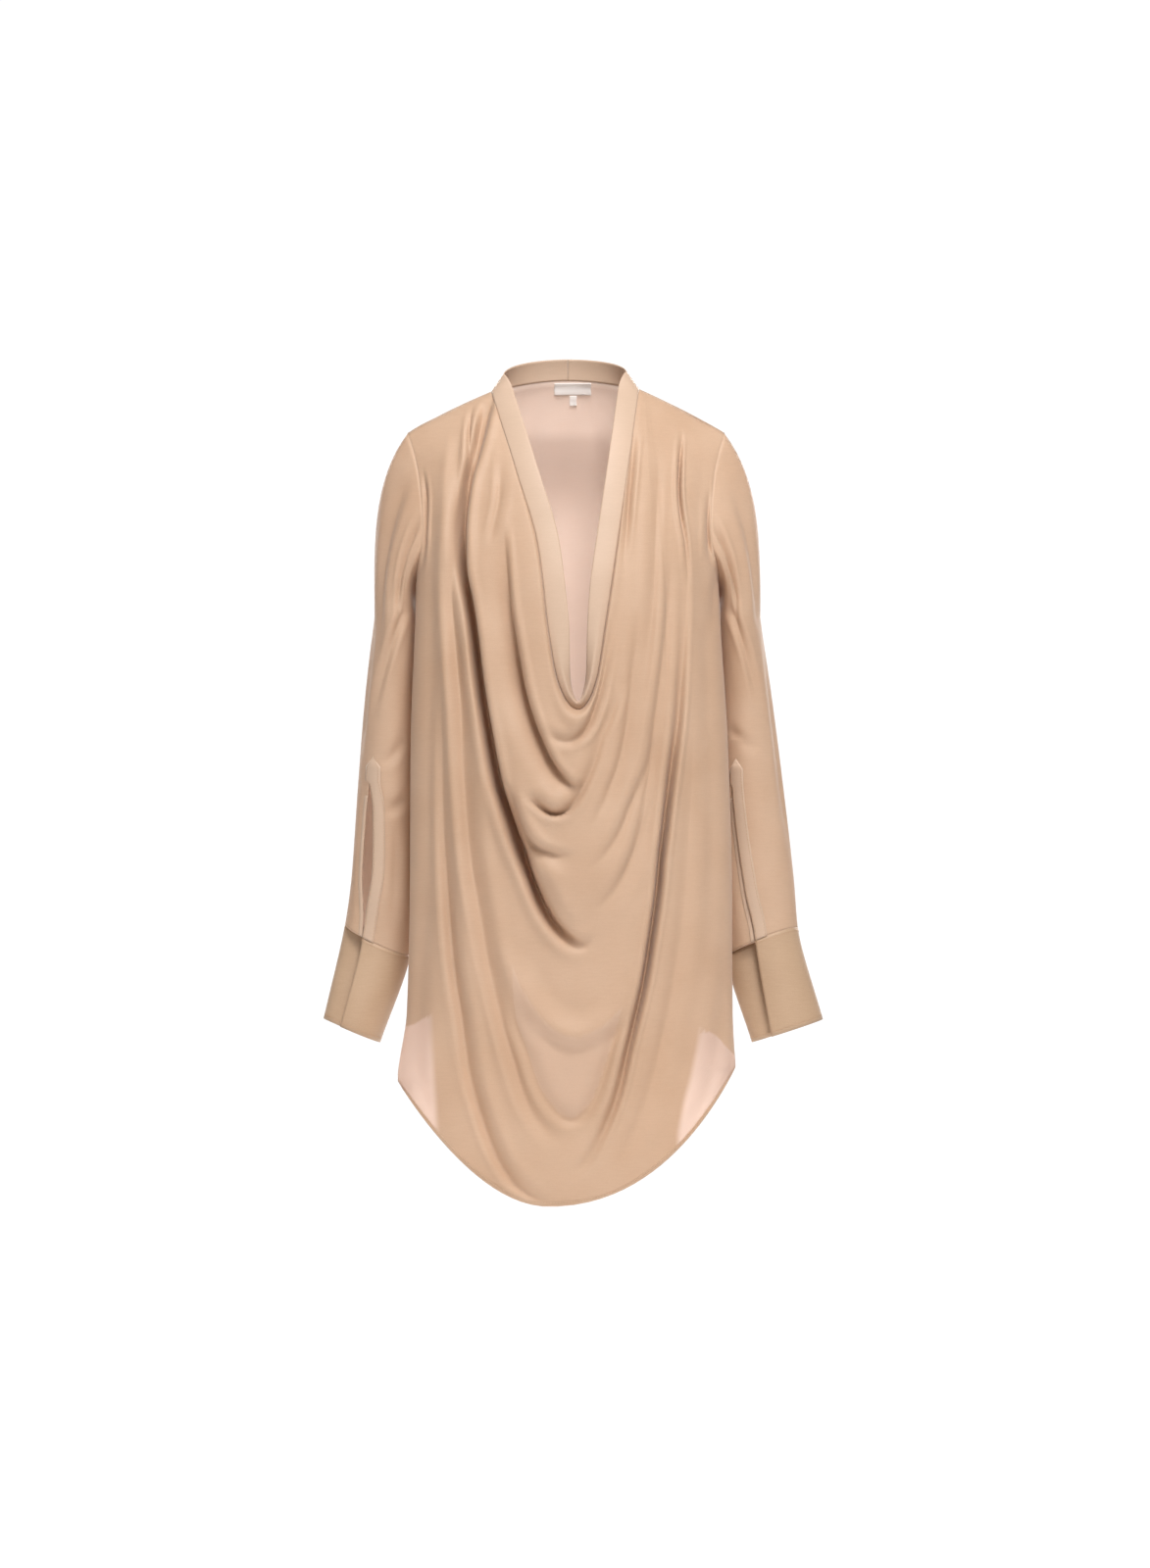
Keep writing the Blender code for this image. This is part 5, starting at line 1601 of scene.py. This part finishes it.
class Growth:
    """Geometry Nodes that grow stitches and ridges along the edges of a line mesh."""

    def __init__(self) -> None:
        """Builds both trees."""
        self.stitches = self.stitch_tree()
        self.ridges = self.ridge_tree()

    @staticmethod
    def tree(name: str, sizes: dict, seed: bool) -> tuple:
        """A tree with its geometry, size, seed and finish inputs.

        Args:
            name: the tree's name.
            sizes: default of each size input in metres, by name.
            seed: adds a Seed input.

        Returns:
            The tree and its input node.
        """
        made = bpy.data.node_groups.new(name, "GeometryNodeTree")
        made.interface.new_socket("Geometry", in_out="OUTPUT", socket_type="NodeSocketGeometry")
        made.interface.new_socket("Geometry", in_out="INPUT", socket_type="NodeSocketGeometry")
        for key, value in sizes.items():
            socket = made.interface.new_socket(key, in_out="INPUT", socket_type="NodeSocketFloat")
            socket.default_value = value
        if seed:
            socket = made.interface.new_socket("Seed", in_out="INPUT", socket_type="NodeSocketInt")
            socket.default_value = 7
        made.interface.new_socket("Finish", in_out="INPUT", socket_type="NodeSocketMaterial")
        return made, made.nodes.new("NodeGroupInput")

    @staticmethod
    def spaced_curve(tree, given):
        """Output socket of the lines as curves with a point at each spacing."""
        curve = add_node(tree, "GeometryNodeMeshToCurve", {"Mesh": given.outputs["Geometry"]})
        spaced = add_node(
            tree, "GeometryNodeResampleCurve",
            {"Curve": curve.outputs["Curve"], "Length": given.outputs["Spacing"]}, mode="LENGTH",
        )
        return spaced.outputs["Curve"]

    @staticmethod
    def halved(tree, size):
        """Output socket of half a size."""
        return add_node(tree, "ShaderNodeMath", {0: size, 1: 0.5}, operation="MULTIPLY").outputs[0]

    def stitch_tree(self):
        """Short lengths of thread laid end to end, with a gap between them.

        Returns:
            The tree.
        """
        sizes = {"Stitch length": 2.4 * MM, "Spacing": 3.4 * MM, "Thickness": 0.5 * MM}
        tree, given = self.tree("stitches", sizes, True)
        line = self.spaced_curve(tree, given)
        radius = self.halved(tree, given.outputs["Thickness"])
        bar = add_node(tree, "GeometryNodeMeshCylinder", {
            "Vertices": 6, "Radius": radius, "Depth": given.outputs["Stitch length"],
        })
        tangent = add_node(tree, "GeometryNodeInputTangent")
        turned = add_node(
            tree, "FunctionNodeAlignRotationToVector", {"Vector": tangent.outputs[0]}, axis="Z",
        )
        wander = add_node(
            tree, "FunctionNodeRandomValue", {2: 0.85, 3: 1.1, "Seed": given.outputs["Seed"]},
            data_type="FLOAT",
        )
        placed = add_node(tree, "GeometryNodeInstanceOnPoints", {
            "Points": line, "Instance": bar.outputs["Mesh"],
            "Rotation": turned.outputs["Rotation"], "Scale": wander.outputs[1],
        })
        self.close(tree, placed.outputs["Instances"], given)
        return tree

    def ridge_tree(self):
        """A low rounded ridge of turned-in cloth along a seam.

        Returns:
            The tree.
        """
        tree, given = self.tree("seam_ridges", {"Width": 1.6 * MM, "Spacing": 5 * MM}, False)
        line = self.spaced_curve(tree, given)
        radius = self.halved(tree, given.outputs["Width"])
        round_profile = add_node(
            tree, "GeometryNodeCurvePrimitiveCircle", {"Resolution": 8, "Radius": radius},
        )
        swept = add_node(tree, "GeometryNodeCurveToMesh", {
            "Curve": line, "Profile Curve": round_profile.outputs["Curve"], "Fill Caps": True,
        })
        self.close(tree, swept.outputs["Mesh"], given)
        return tree

    @staticmethod
    def close(tree, grown, given) -> None:
        """Ends a tree in Realize Instances and Set Material."""
        real = add_node(tree, "GeometryNodeRealizeInstances", {"Geometry": grown})
        dressed = add_node(tree, "GeometryNodeSetMaterial", {
            "Geometry": real.outputs["Geometry"], "Material": given.outputs["Finish"],
        })
        add_node(tree, "NodeGroupOutput", {"Geometry": dressed.outputs["Geometry"]})

    def grow(self, name: str, lines: list, tree, material, **sizes):
        """Grows a tree along lines and keeps the result as a plain mesh.

        Args:
            name: the new object's name.
            lines: arrays of points in millimetres.
            tree: the tree.
            material: its finish.
            sizes: other inputs by name, with underscores for spaces.

        Returns:
            The object.
        """
        points, edges = [], []
        for line in lines:
            first = len(points)
            points.extend((np.asarray(line) * MM).tolist())
            edges.extend((first + i, first + i + 1) for i in range(len(line) - 1))
        mesh = bpy.data.meshes.new(name + "_lines")
        mesh.from_pydata(points, edges, [])
        path = add_object(name + "_lines", mesh)
        modifier = path.modifiers.new("grow", "NODES")
        modifier.node_group = tree
        given = {"Finish": material, **{key.replace("_", " "): value for key, value in sizes.items()}}
        for item in tree.interface.items_tree:
            if item.item_type == "SOCKET" and item.in_out == "INPUT" and item.name in given:
                modifier[item.identifier] = given[item.name]
        graph = bpy.context.evaluated_depsgraph_get()
        result = bpy.data.meshes.new_from_object(path.evaluated_get(graph))
        result.name = name
        if not result.materials:
            result.materials.append(material)
        piece = add_object(name, result)
        bpy.data.objects.remove(path, do_unlink=True)
        return piece


class Held(Enum):
    """How a sheet is held, in the frame's words."""

    HUNG = "hung"
    DRAPED = "draped"
    FOLDED = "folded"


@dataclass(frozen=True)
class Cut:
    """The flat piece that a sheet was cut from, in millimetres and square metres."""

    node: str
    width: float
    length: float
    area: float
    held: Held | None
    slot: str


def pair(name: str, *sizes) -> tuple:
    """The cuts of a piece that both sides have, the right one first."""
    return tuple(Cut(f"{name}_{side.word}", *sizes) for side in Side)


# The size tab is too narrow to count as a sheet, so it isn't held in any way.
CUTS = (
    Cut("front_panel", 700, 990, 0.47, Held.DRAPED, "silk_crepe"),
    Cut("back_panel", 460, 950, 0.37, Held.HUNG, "silk_crepe"),
    *pair("sleeve", 330, 625, 0.14, Held.HUNG, "silk_crepe"),
    *pair("cuff", 262, 112, 0.028, Held.HUNG, "silk_crepe_doubled"),
    Cut("neckband", 26, 1090, 0.028, Held.HUNG, "silk_crepe_doubled"),
    *pair("placket", 18, 235, 0.0037, Held.HUNG, "silk_crepe_doubled"),
    *pair("placket_binding", 12, 165, 0.0019, Held.FOLDED, "silk_crepe_doubled"),
    Cut("label_main", 44, 15, 0.00065, Held.HUNG, "label_satin"),
    Cut("label_size", 8.2, 12.2, 0.0001, None, "label_satin"),
)


# How many rows inside its edge a hem points to, and the lane of a hem that is stitched.
FRONT_INSIDE, BACK_INSIDE, STITCH_LANE = 8, 3, 4
# The wall of hems and plackets, how high stitches lie on the cloth, and the middle of a sleeve.
THIN_WALL = 0.5
HEM_STITCH, CUFF_STITCH, PLACKET_STITCH = 0.35, 0.75, 0.45
SLEEVE_X, SLEEVE_Y = 215.0, 25.0


class Blouse:
    def __init__(self) -> None:
        """Makes the finishes and empty lists of pieces and lines."""
        self.silk = Silk().make()
        self.doubled = Silk(
            name="silk_crepe_doubled", face="CBB09A", deep="BFA58E", single="CBB09A", roughness=0.58,
            see_through=0.08,
        ).make()
        self.cuff_silk = Silk(
            name="silk_crepe_interfaced", face="BFA286", deep="AE9074", single="BFA286", roughness=0.58,
            see_through=0.08,
        ).make()
        # The back is the same silk, painted a shade darker to offset the light that comes through it:
        # painted shade.
        self.back_silk = Silk(
            name="silk_crepe_back", face="D3B9A1", deep="C1A388", see_through=0.38, passed="F2E6DE",
        ).make()
        # The inner side of the back and the sleeves is painted pale and pink: painted backlight, the glow
        # of light coming through from behind.
        self.wrong_side = Silk(
            name="silk_crepe_wrong_side", face="F6E6DC", deep="EED8CA", single="F6E6DC", see_through=0.6,
            passed="F4EAE4",
        ).make()
        self.satin = Satin().make()
        self.thread = Thread().make()
        self.growth = Growth()
        self.pieces: dict = {}
        self.trims: dict = {}
        self.stitch_lines: list = []
        self.ridge_lines: list = []

    def build_body(self) -> None:
        """Makes the front, the back, their hems, the neckband and the labels."""
        cowl, plain, band, hem = Cowl(), Back(), Band(), Hem()
        front, back = cowl.grid(), plain.grid()
        self.pieces["front_panel"] = grid_piece(
            "front_cowl", front, cowl.wall, Face.AXIS, self.silk,
            # The front carries how far each point lies inside the zones where backlight is painted.
            attributes={"single": cowl.single(front).reshape(-1)},
        )
        self.pieces["back_panel"] = grid_piece(
            "back_cloth", back, plain.wall, Face.AXIS, self.back_silk, inner=self.wrong_side,
        )
        out = normals_of(front)
        t = cowl.places()
        hemmed = np.nonzero(cowl.outer_edge(t)[1] < SEAMS.vent_z)[0]
        turned = hem.grid(front[-1, hemmed], front[-1 - FRONT_INSIDE, hemmed], out[-1, hemmed])
        self.trims["front_hem"] = grid_piece("front_hem", turned, THIN_WALL, Face.AXIS, self.silk)
        self.stitch_lines.append(turned[STITCH_LANE] + out[-1, hemmed] * HEM_STITCH)
        behind = -normals_of(back)
        turned = hem.grid(back[-1], back[-1 - BACK_INSIDE], behind[-1])
        self.trims["back_hem"] = grid_piece("back_hem", turned, THIN_WALL, Face.AXIS, self.silk)
        self.stitch_lines.append(turned[STITCH_LANE] + behind[-1] * HEM_STITCH)
        strip = band.grid(front, t)
        self.pieces["neckband"] = grid_piece("neck_band", strip, band.wall, Face.AXIS, self.doubled)
        side = np.nonzero(plain.sides()[0][:, 1] < SEAMS.underarm_z)[0]
        self.ridge_lines += [back[side, 0], back[side, -1]]
        main_label = Label("label_main", -16.0, 27.6, 39.0, 25.0, 0.8)
        for label in (main_label, Label("label_size", 2.3, 10.4, 24.4, 12.4, 0.4)):
            self.pieces[label.name] = grid_piece(
                f"{label.name}_cloth", label.grid(back), label.wall, Face.FRONT, self.satin,
            )

    def build_arms(self) -> None:
        """Makes both sleeves with their cuffs, plackets and bindings."""
        for side in Side:
            sleeve = Sleeve(side)
            grid, cuff = sleeve.grid(), sleeve.cuff_grid()
            word, centre = side.word, sleeve.middle
            self.pieces[f"sleeve_{word}"] = grid_piece(
                f"sleeve_cloth_{word}", grid, sleeve.wall, Face.SLEEVE, self.silk,
                centre=centre, inner=self.wrong_side,
            )
            self.pieces[f"cuff_{word}"] = grid_piece(
                f"cuff_cloth_{word}", cuff, sleeve.cuff_wall, Face.SLEEVE, self.cuff_silk, centre=centre,
            )
            points, faces, lanes, top = sleeve.strip(grid)
            self.pieces[f"placket_{word}"] = sheet_mesh(
                f"placket_cloth_{word}", points, faces, THIN_WALL, Face.SLEEVE, self.doubled, centre,
            )
            binding = sleeve.binding(grid)
            self.pieces[f"placket_binding_{word}"] = grid_piece(
                f"placket_binding_cloth_{word}", binding, THIN_WALL, Face.SLEEVE, self.doubled,
                centre=centre,
            )
            self.stitch_lines += self.arm_stitches(cuff, lanes, top)
            self.ridge_lines.append(np.concatenate([grid[0], grid[0, :1]]))
            self.ridge_lines.append(grid[-1])

    @staticmethod
    def arm_stitches(cuff: np.ndarray, lanes: np.ndarray, top: np.ndarray) -> list:
        """Lines of stitches on a cuff and a placket.

        Args:
            cuff: the cuff.
            lanes: the placket's lanes of points.
            top: the point of its top.

        Returns:
            Lines near the cuff's two edges and one round the placket.
        """
        raised = cuff + outwards(cuff) * CUFF_STITCH
        lifted = normals_of(lanes)
        middle = lanes.mean(axis=1, keepdims=True)
        body = np.array((np.sign(lanes[..., 0].mean()) * SLEEVE_X, SLEEVE_Y, 0.0))
        facing = np.sign(np.sum(lifted * (middle - body) * np.array((1, 1, 0)), axis=-1).mean())
        above = lanes + lifted * facing * PLACKET_STITCH
        near_top = above[0, 4] * 0.25 + top * 0.75
        outline = np.concatenate([above[::-1, 1], near_top[None], above[:, -2]])
        return [raised[1, :Sleeve.columns], raised[-2, :Sleeve.columns], outline]

    def declare(self) -> None:
        """Grows the stitches and seam ridges, hangs every piece on the root and hides the part it stands
        for.
        """
        growth = self.growth
        stitches = growth.grow("stitches", self.stitch_lines, growth.stitches, self.thread)
        ridges = growth.grow("seam_ridges", self.ridge_lines, growth.ridges, self.silk, Width=1.0 * MM)
        for piece in (*self.trims.values(), ridges, stitches):
            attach(piece, "root")
            LOG.info("%s goes with the cloth", piece.name)
        for cut in CUTS:
            piece = self.pieces[cut.node]
            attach(piece, "root")
            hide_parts(cut.node)
            LOG.info("%s stands for %s", piece.name, cut.node)
            if cut.held is None:
                continue


@dataclass(frozen=True)
class Lamp:
    """A soft area lamp: place, aim and size in metres, and power in watts."""

    name: str
    place: tuple
    aim: tuple
    size: float
    power: float


@dataclass(frozen=True)
class Studio:
    """Round white floor, a soft key lamp and a top lamp in front, and two lamps behind."""

    floor_z: float = -1.38
    floor_radius: float = 3.2
    floor_sides: int = 96
    sky: float = 0.27
    background: float = 1.05
    sky_colour: str = "FFF2E6"
    lamps: tuple = (
        Lamp("key", (0.85, -4.05, 2.9), (0.0, 0.0, -0.4), 1.4, 86.0),
        Lamp("top", (0.3, -1.6, 2.4), (0.0, -0.1, -0.2), 1.0, 96.0),
        Lamp("behind_right", (-1.7, 3.8, 0.9), (0.0, 0.0, -0.4), 1.4, 104.0),
        Lamp("behind_left", (1.7, 3.8, 0.9), (0.0, 0.0, -0.4), 1.4, 104.0),
    )
    camera_y: float = -8.04
    scale_y: float = -0.04
    sensor: float = 24.0

    def floor(self) -> None:
        """A round floor of white paper."""
        turns = np.linspace(0, 2 * math.pi, self.floor_sides, endpoint=False)
        reach = self.floor_radius
        rim = [(reach * math.cos(a), reach * math.sin(a), self.floor_z) for a in turns]
        mesh = bpy.data.meshes.new("paper_floor")
        mesh.from_pydata(rim, [], [tuple(range(self.floor_sides))])
        mesh.materials.append(Paper().make())
        add_object("paper_floor", mesh)

    def light(self) -> None:
        """World and lamps."""
        world = bpy.data.worlds.new("studio")
        world.use_nodes = True
        tree = world.node_tree
        tree.nodes.clear()
        sky, white = (
            add_node(tree, "ShaderNodeBackground", {"Color": linear(colour), "Strength": strength})
            for colour, strength in ((self.sky_colour, self.sky), ("FFFFFF", self.background))
        )
        seen = add_node(tree, "ShaderNodeLightPath").outputs["Is Camera Ray"]
        show_mix(tree, seen, sky, white, "ShaderNodeOutputWorld")
        bpy.context.scene.world = world
        for lamp in self.lamps:
            data = bpy.data.lights.new(lamp.name, "AREA")
            data.shape = "SQUARE"
            data.size = lamp.size
            data.energy = lamp.power
            made = add_object(lamp.name, data)
            made.location = lamp.place
            way = np.array(lamp.aim) - np.array(lamp.place)
            tilt = math.atan2(math.hypot(way[0], way[1]), -way[2])
            made.rotation_euler = (tilt, 0.0, math.atan2(way[1], way[0]) - math.pi / 2)

    def camera(self) -> None:
        """Level camera straight in front, framed as the photograph, whose scale holds at scale_y."""
        data = bpy.data.cameras.new("camera")
        data.sensor_fit = "VERTICAL"
        data.sensor_height = self.sensor
        tall = PHOTO_HEIGHT * PHOTO_SCALE * MM
        data.lens = self.sensor * (self.scale_y - self.camera_y) / tall
        data.clip_end = 50.0
        made = add_object("camera", data)
        x = (PHOTO_WIDTH / 2 - ORIGIN_ACROSS) * PHOTO_SCALE * MM
        made.location = (x, self.camera_y, (ORIGIN_DOWN - PHOTO_HEIGHT / 2) * PHOTO_SCALE * MM)
        made.rotation_euler = (math.pi / 2, 0.0, 0.0)
        bpy.context.scene.camera = made

    def build(self) -> None:
        """Everything that is round the blouse."""
        self.floor()
        self.light()
        self.camera()
        view = bpy.context.scene.view_settings
        view.view_transform = "Standard"
        view.look = "None"
        view.exposure = 0.0


def main() -> None:
    """Builds the studio and the blouse."""
    logging.basicConfig(level=logging.INFO, format="%(name)s: %(message)s")
    Studio().build()
    blouse = Blouse()
    blouse.build_body()
    blouse.build_arms()
    blouse.declare()
    bpy.context.view_layer.update()


if __name__ == "__main__":
    main()
